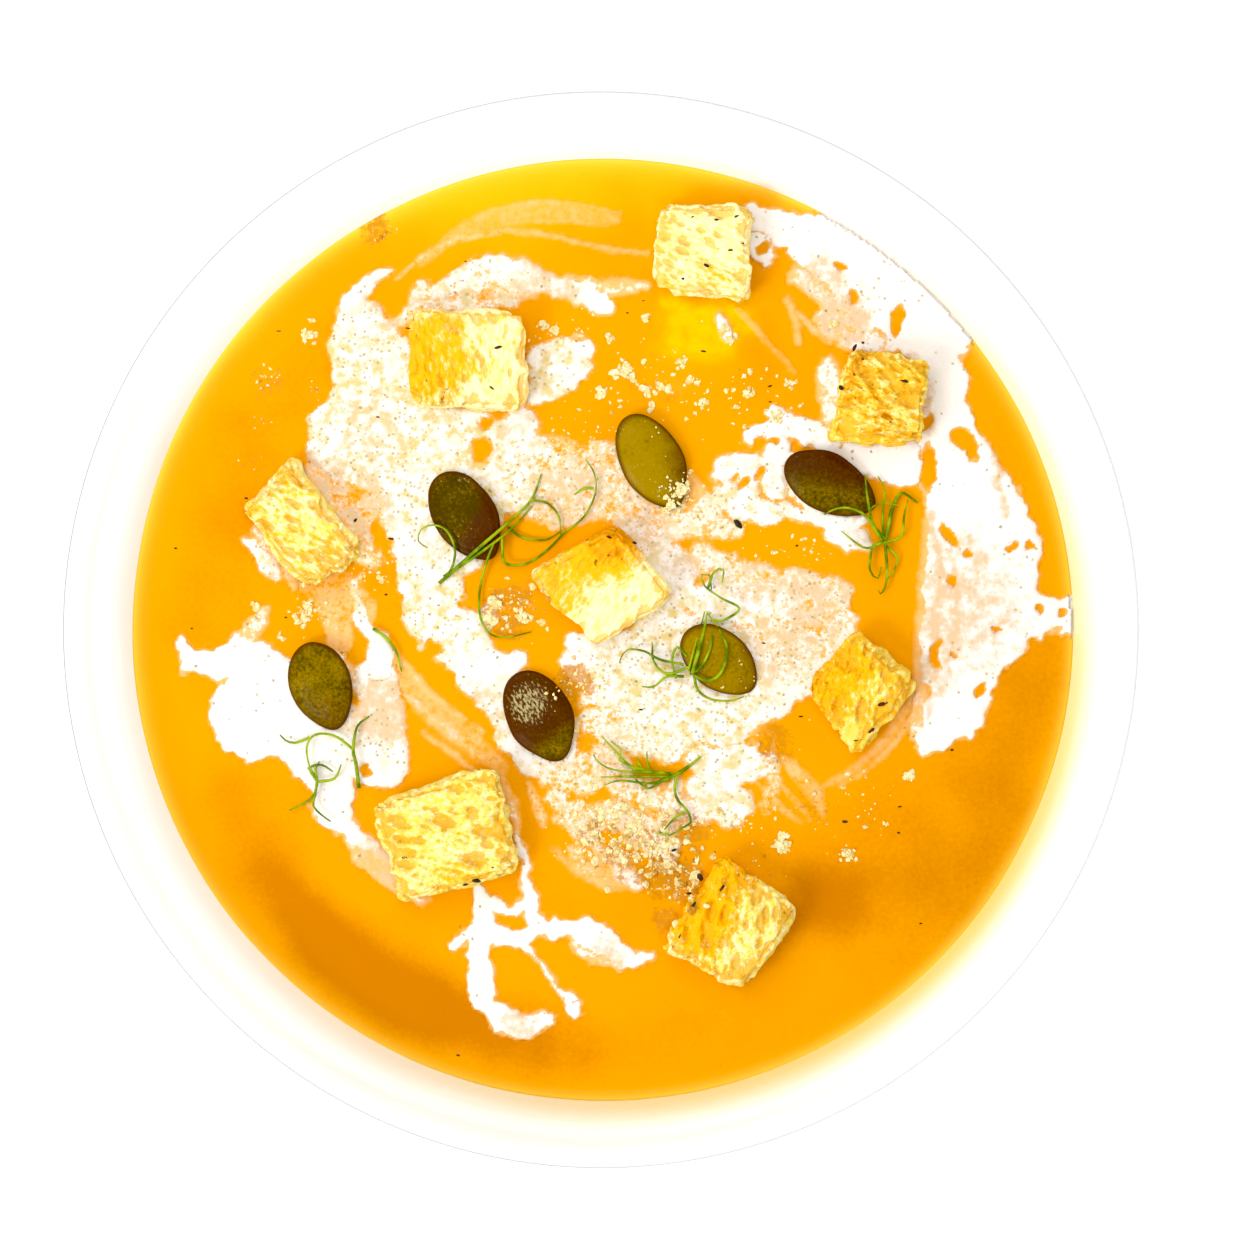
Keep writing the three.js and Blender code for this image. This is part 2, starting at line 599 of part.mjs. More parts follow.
// ---- the whole ----
function build() {
  const group = new THREE.Group();
  const croutonRooms = CROUTONS.map(croutonRoom);
  const seedRooms = SEEDS.map((seed) => seedSolid(seed, GAP));
  const things = joined([...croutonRooms, ...seedRooms]);
  const creamRooms = [];

  group.add(piece('bowl', makeBowl(), COLOURS.porcelain, 0.15));
  Object.keys(CREAM).forEach((name, i) => {
    const taken = joined([things, ...creamRooms]);
    const cream = largestBody(creamSlab(CREAM_CIRCLES[i], 0).subtract(taken));
    creamRooms.push(creamSlab(CREAM_CIRCLES[i], 2 * GAP));
    group.add(piece(name, cream, COLOURS.cream, 0.4));
  });
  group.add(piece('soup', largestBody(makeSoup([things, ...creamRooms])), COLOURS.soup, 0.3));
  CROUTONS.forEach((crouton, i) => {
    group.add(piece(`crouton_${i + 1}`, makeCrouton(crouton, i), COLOURS.bread, 0.85));
  });
  SEEDS.forEach((seed, i) => {
    group.add(piece(`pumpkin_seed_${i + 1}`, seedSolid(seed, 0), COLOURS.seed, 0.35));
  });
  SPRIGS.forEach((threads, i) => {
    group.add(piece(`dill_sprig_${i + 1}`, makeSprig(threads), COLOURS.dill, 0.5));
  });
  return group;
}

const group = build();

export default group;
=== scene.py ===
# %% [markdown]
# # A bowl of pumpkin soup
# A white glazed bowl, filled to a centimetre below its rim with pumpkin soup. Cream is poured over the
# soup in swirls, and bread croutons, hulled pumpkin seeds, sprigs of dill and crumbs lie on it.
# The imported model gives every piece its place. This lesson gives each one its fine shape and its finish.
# The frame comes first, because everything else is placed in it.

# %% Load the fixed frame
import math

import bpy
import numpy as np
from mathutils import Matrix, Vector


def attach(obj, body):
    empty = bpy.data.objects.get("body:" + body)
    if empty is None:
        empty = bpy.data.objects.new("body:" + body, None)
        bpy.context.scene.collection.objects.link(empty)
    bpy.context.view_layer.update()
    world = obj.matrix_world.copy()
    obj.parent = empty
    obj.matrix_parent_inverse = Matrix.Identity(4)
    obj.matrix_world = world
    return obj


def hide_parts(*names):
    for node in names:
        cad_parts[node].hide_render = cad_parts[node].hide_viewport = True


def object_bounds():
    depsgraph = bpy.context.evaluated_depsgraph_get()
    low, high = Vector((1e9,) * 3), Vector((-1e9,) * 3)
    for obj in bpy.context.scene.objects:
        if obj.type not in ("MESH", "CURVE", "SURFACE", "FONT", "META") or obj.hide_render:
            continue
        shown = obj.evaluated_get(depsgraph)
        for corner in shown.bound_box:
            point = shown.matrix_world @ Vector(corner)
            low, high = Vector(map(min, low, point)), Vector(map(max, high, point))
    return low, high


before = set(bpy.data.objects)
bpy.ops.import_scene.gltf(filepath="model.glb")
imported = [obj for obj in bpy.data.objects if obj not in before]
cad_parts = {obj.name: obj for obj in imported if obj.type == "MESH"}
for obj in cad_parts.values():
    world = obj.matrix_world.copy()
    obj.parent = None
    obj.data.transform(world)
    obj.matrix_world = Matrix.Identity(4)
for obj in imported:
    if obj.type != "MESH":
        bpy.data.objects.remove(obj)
cad_low, cad_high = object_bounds()
MM = 0.001
rim_radius = (cad_high.x - cad_low.x) / 2 / MM
print(f"frame: {len(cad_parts)} nodes, rim radius {rim_radius:.1f} mm")

# %% [markdown]
# ## The camera
# The photograph looks almost straight down. The rim is a circle in it, so its size in pixels and an
# assumed distance give the focal length, and the small shift between the soup's circle and the rim's
# circle gives the lean. Nothing has to be shifted in the lens: the camera aims at the picture's middle.

# %% Camera
PHOTO_SIDE = 1260  # pixels, both ways
RIM_PIXELS = 541  # radius of the rim in the photograph
RIM_MIDDLE = (597.5, 629.8)  # its middle, in pixels from the upper left
SIGHT_HEIGHT = 58.5  # height of the plane that is sharp, mm
CAMERA_REACH = 700  # from that plane to the lens, mm
CAMERA_LEAN = math.radians(2.3)  # towards +X

pixel = rim_radius / RIM_PIXELS
aim = Vector((
    (PHOTO_SIDE / 2 - RIM_MIDDLE[0]) * pixel,
    -(PHOTO_SIDE / 2 - RIM_MIDDLE[1]) * pixel,
    SIGHT_HEIGHT,
))
back = Vector((math.sin(CAMERA_LEAN), 0, math.cos(CAMERA_LEAN)))
right = Vector((math.cos(CAMERA_LEAN), 0, -math.sin(CAMERA_LEAN)))
camera = bpy.data.objects.new("camera", bpy.data.cameras.new("camera"))
bpy.context.scene.collection.objects.link(camera)
camera.data.lens = camera.data.sensor_width * CAMERA_REACH / (PHOTO_SIDE * pixel)
camera.location = (aim + back * CAMERA_REACH) * MM
camera.rotation_euler = Matrix((right, (0, 1, 0), back)).transposed().to_euler()
camera.data.clip_start = 0.05
bpy.context.scene.camera = camera
print(f"camera: {camera.data.lens:.1f} mm lens, {camera.location.z:.3f} m up")

# %% [markdown]
# ## One workbench for node trees
# Finishes and repeated things are both node trees. A small class wraps a socket, so that sums and
# products are written as plain expressions, and a second class adds any other node: its settings
# first, then its values and links. That keeps each finish as short as the recipe it stands for.


# %% Node expressions
class Wire:
    """A socket that can be added, multiplied and compared like a number."""

    def __init__(self, bench, socket):
        self.bench = bench
        self.socket = socket

    def _sum(self, operation, first, second):
        return self.bench.node(self.bench.MATH, {"operation": operation}, {0: first, 1: second})

    def __add__(self, other):
        return self._sum("ADD", self, other)

    def __radd__(self, other):
        return self._sum("ADD", other, self)

    def __sub__(self, other):
        return self._sum("SUBTRACT", self, other)

    def __rsub__(self, other):
        return self._sum("SUBTRACT", other, self)

    def __mul__(self, other):
        return self._sum("MULTIPLY", self, other)

    def __rmul__(self, other):
        return self._sum("MULTIPLY", other, self)

    def __pow__(self, other):
        return self._sum("POWER", self, other)

    def step(self, low, high):
        """0 below low, 1 above high, smooth between them."""
        return self.bench.node(
            "ShaderNodeMapRange",
            {"interpolation_type": "SMOOTHSTEP", "clamp": True},
            {"Value": self, "From Min": low, "From Max": high, "To Min": 0.0, "To Max": 1.0},
        )


class Bench:
    """A node tree with one method that adds any node."""

    MATH = "ShaderNodeMath"

    def __init__(self, tree):
        self.tree = tree

    def node(self, kind, settings=None, sockets=None, output=0):
        made = self.tree.nodes.new(kind)
        for name, value in (settings or {}).items():
            setattr(made, name, value)
        for key, value in (sockets or {}).items():
            if isinstance(value, Wire):
                self.tree.links.new(value.socket, made.inputs[key])
            else:
                made.inputs[key].default_value = value
        return Wire(self, made.outputs[output])

    def vector(self, *parts):
        """A vector from up to three values."""
        return self.node("ShaderNodeCombineXYZ", {}, dict(enumerate(parts)))


class Finish(Bench):
    """A material. Sizes are in millimetres on the object's own coordinates."""

    def __init__(self, name):
        self.material = bpy.data.materials.new(name)
        self.material.use_nodes = True
        super().__init__(self.material.node_tree)
        self.shader = self.tree.nodes["Principled BSDF"]
        self.place = self.node("ShaderNodeTexCoord", output="Object")

    def noise(self, size, detail=2.0, stretch=None, roughness=0.5):
        place = self.place
        if stretch:
            place = self.node("ShaderNodeMapping", {}, {"Vector": place, "Scale": stretch})
        sockets = {"Vector": place, "Scale": 1 / (size * MM), "Detail": detail, "Roughness": roughness}
        return self.node("ShaderNodeTexNoise", {}, sockets)

    def cells(self, size, output="Distance"):
        sockets = {"Vector": self.place, "Scale": 1 / (size * MM)}
        return self.node("ShaderNodeTexVoronoi", {}, sockets, output)

    def lot(self, cells):
        """One random number for each cell, the first channel of its colour."""
        return self.node("ShaderNodeSeparateColor", {}, {0: cells}, 0)

    def painted(self, name):
        """A value that the piece's own points carry."""
        return self.node("ShaderNodeAttribute", {"attribute_name": name}, {}, "Fac")

    def mix(self, first, second, share):
        colour = [value if isinstance(value, Wire) else (*value, 1.0) for value in (first, second)]
        sockets = {0: share, 6: colour[0], 7: colour[1]}
        return self.node("ShaderNodeMix", {"data_type": "RGBA"}, sockets, 2)

    def relief(self, height, depth, strength=1.0, under=None):
        """A bump of that depth in millimetres, on top of another bump."""
        sockets = {"Height": height, "Distance": depth * MM, "Strength": strength}
        if under:
            sockets["Normal"] = under
        return self.node("ShaderNodeBump", {}, sockets)

    def finish(self, **sockets):
        for key, value in sockets.items():
            target = self.shader.inputs[key.replace("_", " ")]
            if isinstance(value, Wire):
                self.tree.links.new(value.socket, target)
            else:
                target.default_value = (*value, 1.0) if isinstance(value, tuple) else value
        return self.material


print("bench: expressions and nodes are ready")

# %% [markdown]
# ## From numbers to a piece
# Most pieces here are height fields and warped boxes, which numpy works out quickly for all points
# at once. One helper turns its arrays into a mesh in the shared frame, and one more says what
# carries the piece and what it stands for.


# %% Mesh helpers
def put_in_scene(name, mesh, painted):
    """An object of that mesh, with values painted on its points."""
    for key, values in painted.items():
        mesh.attributes.new(key, "FLOAT", "POINT").data.foreach_set("value", values.astype(np.float32))
    piece = bpy.data.objects.new(name, mesh)
    bpy.context.scene.collection.objects.link(piece)
    return piece


def mesh_piece(name, points, faces, material, painted):
    """A mesh from points in millimetres, with values painted on its points."""
    mesh = bpy.data.meshes.new(name)
    faces = np.asarray(faces, np.int32)
    mesh.vertices.add(len(points))
    mesh.vertices.foreach_set("co", (np.asarray(points) * MM).astype(np.float32).ravel())
    mesh.loops.add(faces.size)
    mesh.loops.foreach_set("vertex_index", faces.ravel())
    mesh.polygons.add(len(faces))
    mesh.polygons.foreach_set("loop_start", np.arange(len(faces), dtype=np.int32) * faces.shape[1])
    mesh.polygons.foreach_set("use_smooth", np.full(len(faces), True))
    mesh.update(calc_edges=True)
    mesh.materials.append(material)
    return put_in_scene(name, mesh, painted)


def hand_over(piece, slot, *nodes):
    """The piece rides on the object and stands for these nodes; the slot is not used."""
    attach(piece, "root")
    if nodes:
        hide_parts(*nodes)
    triangles = sum(len(face.vertices) - 2 for face in piece.data.polygons)
    print(f"{piece.name}: {triangles} triangles")


print("pieces: ready to be made and handed over")

# %% [markdown]
# ## Even randomness
# Food has no straight edge, so nearly every shape below is disturbed a little. Value noise does it:
# random numbers on a coarse lattice, blended smoothly in between. Each use has its own seed, so the
# bowl comes out the same each time.


# %% Noise on points
LATTICE = 64


def soft(share):
    return share * share * share * (share * (6 * share - 15) + 10)


def cloud(size, seed, *place):
    """Smooth noise from -1 to 1 at points given by two or three coordinates."""
    values = np.random.default_rng(seed).random((LATTICE,) * len(place)) * 2 - 1
    whole = [np.floor(axis / size + 0.5).astype(int) for axis in place]
    share = [soft(axis / size + 0.5 - low) for axis, low in zip(place, whole)]
    total = 0
    for corner in np.ndindex(*(2,) * len(place)):
        index = tuple((low + step) % LATTICE for low, step in zip(whole, corner))
        weight = 1
        for near, step in zip(share, corner):
            weight = weight * (near if step else 1 - near)
        total = total + values[index] * weight
    return total


def rise(value, low, high):
    """0 below low, 1 above high, smooth between them."""
    share = np.clip((value - low) / (high - low), 0, 1)
    return share * share * (3 - 2 * share)


def smooth_line(points, spacing):
    """A Catmull-Rom line through rows of numbers, with points about that far apart."""
    points = np.asarray(points, float)
    ends = np.vstack([2 * points[0] - points[1], points, 2 * points[-1] - points[-2]])
    line = []
    for a, b, c, d in zip(ends[:-3], ends[1:-2], ends[2:-1], ends[3:]):
        count = max(int(np.hypot(*(c - b)[:2]) / spacing), 1)
        t = (np.arange(count) / count)[:, None]
        line.append(0.5 * (2 * b + (c - a) * t + (2 * a - 5 * b + 4 * c - d) * t**2
                           + (3 * b - 3 * c + d - a) * t**3))
    return np.vstack([*line, points[-1:]])


def towards(x, y, degrees):
    """1 for points on that side of the bowl, 0 for points on the other."""
    return 0.5 + 0.5 * np.cos(np.arctan2(y, x) - math.radians(degrees))


def rotation(thing):
    """The matrix that leans a thing over and then turns it, for points in rows."""
    lean_x, lean_y = (math.radians(angle) for angle in thing["lean"])
    turn = (Matrix.Rotation(math.radians(thing["turn"]), 3, "Z")
            @ Matrix.Rotation(lean_y, 3, "Y") @ Matrix.Rotation(lean_x, 3, "X"))
    return np.array(turn).T


print(f"noise: lattices of {LATTICE} a side")

# %% [markdown]
# ## Where the cream lies
# Cream that is poured from a spoon leaves bands of changing width, thick and white in the middle and
# thin enough at the edges to show the soup. So the cream is drawn as strokes: a few points with a
# half width each, and one number for how thick it was poured. All strokes are laid on one fine map
# of the surface. A piece of mesh for each stroke would show joints; a map shows none.

# %% The map
CELL = 0.345  # width of a square of the map, mm
HALF_SIDE = 209  # squares from the middle to an edge
ticks = (np.arange(2 * HALF_SIDE + 1) - HALF_SIDE) * CELL
map_x, map_y = np.meshgrid(ticks, ticks)
WANDER = [(2.6, 0.55), (1.1, 0.34), (0.62, 0.2)]  # size and reach of the cream's ragged edge
RAGGED_FROM = (0.36, 0.56)  # thinner cream than this runs with a smooth edge


def wandering(axis, seed):
    """One of the map's coordinates, moved about at random."""
    return axis + sum(reach * cloud(size, seed + k, map_x, map_y) for k, (size, reach) in enumerate(WANDER))


def window(low, high, margin):
    """The part of the map round two corners."""
    most = 2 * HALF_SIDE
    first = [int(np.clip((value - margin) / CELL + HALF_SIDE, 0, most)) for value in low]
    last = [int(np.clip((value + margin) / CELL + HALF_SIDE + 2, 1, most + 1)) for value in high]
    return np.s_[first[1]:last[1], first[0]:last[0]]


def lay_stroke(layer, density, stroke, edge=0.7, spacing=1.6):
    """One stroke of [x, y, half width] on a layer of the map."""
    line = smooth_line(stroke, spacing)
    ragged = 0.25 + 0.75 * rise(density, *RAGGED_FROM)
    for start, end in zip(line[:-1], line[1:]):
        part = window(np.minimum(start, end)[:2], np.maximum(start, end)[:2], max(start[2], end[2]) + 2)
        x = map_x[part] + ragged * (wander_x[part] - map_x[part]) - start[0]
        y = map_y[part] + ragged * (wander_y[part] - map_y[part]) - start[1]
        along = end - start
        share = np.clip((x * along[0] + y * along[1]) / (along[0] ** 2 + along[1] ** 2 + 1e-9), 0, 1)
        inside = start[2] + along[2] * share - np.hypot(x - along[0] * share, y - along[1] * share)
        layer[part] = np.maximum(layer[part], density * rise(inside, -edge, edge))


def sample(layer, x, y):
    """A layer's value at any points, in millimetres."""
    across = np.clip(np.asarray(x) / CELL + HALF_SIDE, 0, 2 * HALF_SIDE - 1e-6)
    up = np.clip(np.asarray(y) / CELL + HALF_SIDE, 0, 2 * HALF_SIDE - 1e-6)
    i, j = across.astype(int), up.astype(int)
    u, v = across - i, up - j
    lower = layer[j, i] * (1 - u) + layer[j, i + 1] * u
    upper = layer[j + 1, i] * (1 - u) + layer[j + 1, i + 1] * u
    return lower * (1 - v) + upper * v


wander_x, wander_y = wandering(map_x, 1), wandering(map_y, 11)
print(f"map: {len(ticks)} x {len(ticks)} points, {CELL} mm apart")

# %% [markdown]
# ## The strokes
# The cream has four patches: a broad one from the upper left through the middle, an arc along the
# right-hand wall, a splash at the left and a squiggle at the bottom. Each row is the thickness, from
# 0 for none to 1 for opaque, and the stroke's points. The thin veils are strokes of low thickness.

# %% Broad patch: the upper left
CREAM_MAIN = [
    (1.0, [(-31.6, 54, 0.5), (-34.6, 52.4, 1.1), (-37.6, 48.6, 2.0), (-37.8, 44, 2.9), (-37, 39, 3.6)]),
    (0.9, [(-34.5, 45.5, 4), (-34.5, 40, 5), (-35, 34, 5.6)]),
    (1.0, [(-41.4, 30.6, 2.6), (-37, 31, 5), (-32, 32, 4), (-26, 30.6, 3.4), (-20, 30, 2.6)]),
    (0.9, [(-41, 27, 3.4), (-36, 25, 4), (-31, 26, 5.5), (-24, 27, 4), (-16.5, 26, 4)]),
    (0.74, [(-20, 27, 3.5), (-13, 28, 3.4), (-10, 24.6, 4.2), (-5.4, 22.8, 3.4), (0, 21.8, 2.6)]),
    (0.6, [(-10, 20, 3.6), (-5, 18.4, 3), (0, 18.6, 2.4), (6, 16.6, 1.9), (11, 15.6, 2.2)]),
    (0.55, [(-43, 23, 2), (-40, 20, 2.6), (-37.4, 17, 2.4), (-34.4, 17.6, 2.6)]),
    (1.0, [(-30, 20, 3.4), (-28.4, 15, 3.5), (-26.4, 10.4, 4.3), (-25.2, 5, 4.4), (-24.8, 1, 4.2),
           (-22.4, -1.6, 3.6)]),
    (0.97, [(-22, 0, 4), (-19, -4.6, 3.6), (-15.6, -5.6, 2.6), (-12.5, -4.6, 1.2)]),
    (1.0, [(-19, -7.6, 2.6), (-16.8, -11, 1.6), (-15.6, -14.6, 1.2), (-12.6, -18.6, 1.3),
           (-9.6, -20.6, 1.2)]),
    (1.0, [(-18.2, 1.2, 1), (-16.6, 2.4, 1.4), (-15.6, 4, 0.9)]),
    (0.95, [(-37, 7.6, 0.5), (-36.6, 3.6, 0.7), (-35.2, 0.6, 1.2), (-33.4, -2.4, 1.8),
            (-33.4, -6, 2.2)]),
]
print(f"broad patch: {len(CREAM_MAIN)} strokes")

# %% Broad patch: over the upper left crouton and right of it
CREAM_MAIN += [
    (0.8, [(-33, 46.6, 1.4), (-29.4, 48.8, 1.3), (-26.4, 51, 1.2), (-22.6, 51.6, 1.3), (-19, 53.4, 2.2),
           (-15.6, 54.4, 2.0), (-11, 53, 2.2)]),
    (0.76, [(-15, 53.6, 2), (-9.6, 52.2, 2), (-5, 51.8, 1.6), (-1.4, 50.2, 1.9), (0.6, 48.4, 1.4)]),
    (0.5, [(-30, 48.6, 1.4), (-24, 49.4, 1.6), (-17, 50, 1.5), (-11, 50.8, 1.4)]),
    (0.48, [(-1, 51, 1.6), (3, 51.4, 1.1), (7, 51.8, 0.7)]),
    # A small white patch of cream on the hump that is also a painted highlight there.
    (0.9, [(18, 46.6, 0.5), (18.7, 45.2, 0.7), (19.4, 43.6, 0.3)]),
    (1.0, [(-9.4, 41, 1.7), (-6.2, 42, 1.9), (-2.6, 42.6, 1.4)]),
    (0.95, [(-8.6, 38.6, 2.2), (-5.2, 39.6, 2.6), (-3, 39.6, 1.4)]),
    (0.9, [(-9.6, 35.6, 1.8), (-6.8, 36.4, 1.6), (-4.4, 36.8, 1.0)]),
    (0.7, [(-12, 32.6, 1.6), (-10.6, 31, 1.4), (-13, 30, 2.4)]),
]
print(f"broad patch: {len(CREAM_MAIN)} strokes")

# %% Broad patch: round the two seeds on the right
CREAM_MAIN += [
    (1.0, [(18.4, 24.4, 1.7), (20.6, 25.6, 1.2), (22.8, 24.6, 1.9), (22.6, 21.4, 1.6)]),
    (1.0, [(19.4, 20.6, 2), (22.4, 18.4, 2.4), (25.2, 17.8, 1.9)]),
    (0.64, [(16.6, 18.6, 2), (13.6, 16, 2.2), (18, 15.6, 2.2), (20.6, 15, 1.3)]),
    (1.0, [(22.8, 29, 1.1), (25.4, 30.2, 1.5), (28.4, 30.8, 1.5), (31.6, 29.6, 1.9), (34.4, 28, 1.5)]),
    (1.0, [(26.8, 27.4, 1.8), (25.6, 24, 1.5), (26.6, 21, 1.4)]),
    (1.0, [(25.6, 32.8, 1.1), (26.8, 31.4, 1.2)]),
    (1.0, [(33, 27.6, 1.4), (37, 25.4, 1.3), (41, 24.6, 1.9), (45.4, 24, 2.0), (48, 24, 2.0)]),
    (1.0, [(28, 18.4, 1.1), (31, 17.2, 1.0), (34.6, 15.8, 1.2), (38, 16, 1.4)]),
    (0.95, [(34, 14.4, 1), (36.6, 13.4, 1.5), (39.6, 13.6, 1.2)]),
]
print(f"broad patch: {len(CREAM_MAIN)} strokes")

# %% Broad patch: the middle of the bowl
CREAM_MAIN += [
    (0.7, [(14.4, 11.6, 1.3), (17, 9.6, 2.2), (21, 8, 2.4), (26, 6.2, 3.0), (31, 5.2, 3.8),
           (35.4, 4.4, 2.4)]),
    (0.92, [(13.4, 5, 1.6), (17, 4, 3.4), (22, 4, 3), (27, 4.4, 3)]),
    (0.66, [(20, 0, 3), (26, 0, 4), (31, 1, 4), (35, 1, 3.4), (30, -4, 4), (27, -8, 3.6),
            (31, -8, 2)]),
    (0.9, [(4, -2.4, 1.6), (8, -1, 2.6), (11, 1, 2)]),
    (0.8, [(8.4, 1.4, 1.6), (10.8, 4.6, 2.2), (12.4, 8.4, 2.2), (11, 11, 1.6)]),
    (0.84, [(-5, -4.6, 1.6), (-2, -6.4, 2.6), (1, -8, 2.6)]),
    (0.93, [(2.4, -4.2, 1.6), (7, -5, 3), (11, -6, 3), (16, -8, 4), (22, -10, 4)]),
    (0.88, [(-1.4, -10, 1.8), (2, -9, 3), (6, -10, 3.6), (10, -11, 4), (14, -10.6, 3)]),
    (1.0, [(12.6, -14, 2.6), (16, -13.4, 3.4), (19.6, -14.6, 2.8)]),
    (0.78, [(24, -9, 2.6), (27, -10.6, 2), (23, -12.6, 2.2)]),
    (0.74, [(-1, -14, 2.2), (3, -14.6, 3.4), (8, -15.6, 3.2), (11, -17.6, 2.6)]),
    (1.0, [(15.4, -19.6, 2.4), (20, -20.6, 3.2), (23.6, -19.6, 2.4), (25.6, -20, 1.2)]),
    (1.0, [(14.6, -23.4, 2), (18.6, -24.6, 2.6), (20.8, -26, 1.8)]),
    (0.7, [(12, -27, 2.2), (16.4, -27.6, 1.6), (20.6, -28.2, 1)]),
    (0.62, [(-5, -17, 2.2), (-7.6, -21, 2.2), (-3, -22, 3), (1, -20, 3), (4, -24, 2.4),
            (10, -25, 2.6)]),
    (0.6, [(-7, -25, 1.4), (-4, -27.4, 1.8), (0, -28, 2), (3, -30, 2), (7, -31, 2), (10, -29.4, 2)]),
    (0.42, [(-4, -31, 1.2), (-3, -35, 1.4), (1, -37.6, 1.6), (5, -37.6, 1.2)]),
    (0.45, [(24, -16, 1.6), (26, -22.6, 1.2), (24.6, -27, 1)]),
]
print(f"broad patch: {len(CREAM_MAIN)} strokes")

# %% Broad patch: close round what lies in it
CREAM_MAIN += [
    (0.92, [(-27, 20, 3.4), (-23, 18, 4), (-19.4, 16, 4.2), (-21, 12, 3)]),
    (0.74, [(-19, 23, 3.6), (-15, 20, 3), (-12, 21, 3)]),
    (0.64, [(0, 26, 2.6), (2.6, 22.6, 3), (6, 20, 3), (10, 19, 2.4)]),
    (1.0, [(28.6, 25.6, 1.3), (29.6, 21.6, 1.2), (32.4, 18.2, 1.0)]),
    (0.97, [(-14.6, -8.4, 2.2), (-10, -12.6, 5.2), (-7, -17, 4)]),
    (0.82, [(11, 0, 3), (16, -3, 4.4), (21.6, -5.6, 4.4)]),
    (0.66, [(-29.6, 47.4, 1.6), (-24, 48.6, 1.3), (-17, 49, 1.3), (-13.6, 49, 1)]),
    (0.8, [(-30.6, 42, 2.4), (-30, 36, 2.4), (-26, 31.6, 2.4), (-18, 31.4, 1.8)]),
    (0.55, [(34, 39.4, 1.4), (34.6, 34, 1.5), (35.4, 28.6, 1.4)]),
    (0.64, [(-6, -28.4, 1.2), (-2.6, -29.4, 1.8), (0.4, -32.6, 2.0), (3.4, -36.4, 1.6),
            (5.6, -38.4, 0.9)]),
    (0.7, [(1.6, -27.6, 2), (5.6, -30, 2.4), (9.6, -32.6, 2.2), (10.4, -35, 1.2)]),
    (1.0, [(37.6, 27, 1.3), (42, 26.4, 1.6), (46.6, 27, 1.6)]),
    (0.56, [(-41, 22.6, 2.4), (-37, 14.6, 2.6), (-34.6, 10.6, 2)]),
    (0.74, [(5, 15.4, 2), (9.6, 10.4, 3), (10, 4, 3), (7, -1, 3)]),
    (0.9, [(-4.6, -1.6, 1.4), (-1, -3, 2.2), (4, -3, 3)]),
]
print(f"broad patch: {len(CREAM_MAIN)} strokes")

# %% Broad patch: thin veils along its edges
CREAM_MAIN += [
    (0.3, [(27, -19, 0.5), (30, -22, 1.3), (32.6, -25, 1.3), (33.4, -28, 0.5)]),
    (0.34, [(23.4, -23, 0.2), (26.4, -26, 0.5), (30, -29, 0.3)]),
    (0.32, [(25.6, -22, 0.2), (29, -25.4, 0.4), (31.6, -28.6, 0.2)]),
    (0.3, [(33.4, -23.6, 0.4), (37, -21.6, 0.8), (40.6, -18.8, 0.8), (44, -14.6, 1.0), (46.4, -10, 0.9)]),
    (0.36, [(36, -23.4, 0.2), (40.4, -20.6, 0.4), (44, -17, 0.6), (46.8, -12.6, 0.5)]),
    (0.35, [(-41.6, 6, 1.8), (-40, 2, 2.2), (-39.4, -2, 2)]),
    (0.26, [(-32, -4, 1.0), (-28.5, -9, 1.8), (-24, -13.6, 2.0), (-19, -17.4, 1.8), (-15, -21, 1.2)]),
    (0.4, [(-31, -3, 0.3), (-27.6, -7.6, 0.7), (-23, -12, 0.6), (-18, -15.4, 0.3)]),
    (0.5, [(-30.6, -8, 0.2), (-27, -12, 0.6), (-22.6, -15.6, 0.8), (-18.4, -18.6, 0.4)]),
    (0.45, [(-27, -15.4, 0.2), (-23, -18, 0.5), (-19, -21.4, 0.3)]),
    (0.5, [(-15.6, -22, 0.4), (-13.4, -26, 0.8), (-12.6, -30, 0.7), (-12, -34, 0.5)]),
    (0.4, [(-11, -23, 0.4), (-9.6, -26.4, 0.9), (-8.6, -29.6, 0.6)]),
    (0.3, [(-44, 9, 3), (-40, 6, 3.4), (-36, 3, 2.4)]),
    (0.42, [(-12, 27, 3), (-6, 26.8, 2.2), (-1, 25, 1.6)]),
    (0.28, [(13, 22, 2), (16.6, 17, 2.2), (19, 14.6, 1.4)]),
    (0.24, [(-27, 55, 0.5), (-21.6, 59.6, 1.2), (-16, 62, 1.6), (-9, 63, 1.6), (-3, 62.6, 1.3),
            (2, 61.6, 0.9)]),
    (0.34, [(-24, 58.4, 0.2), (-17, 62.6, 0.4), (-10, 64.2, 0.5), (-3, 63.8, 0.3), (3, 62.4, 0.2)]),
    (0.30, [(-20, 59.6, 0.2), (-14, 61, 0.4), (-6, 61.6, 0.5), (1, 60.6, 0.3)]),
    (0.4, [(-31, 52.6, 0.2), (-27, 56, 0.4), (-22, 58.6, 0.5), (-16, 59.8, 0.4), (-10, 59.6, 0.35),
           (-4, 58.4, 0.4), (2, 57, 0.35), (7, 56.4, 0.3)]),
    (0.34, [(20.6, 48, 0.4), (23.4, 45, 0.5), (26.4, 41.6, 0.4), (29.2, 38.6, 0.3)]),
    (0.3, [(-9, -31, 0.4), (-6, -34, 0.5), (-3.4, -37, 0.4)]),
]
print(f"broad patch: {len(CREAM_MAIN)} strokes")

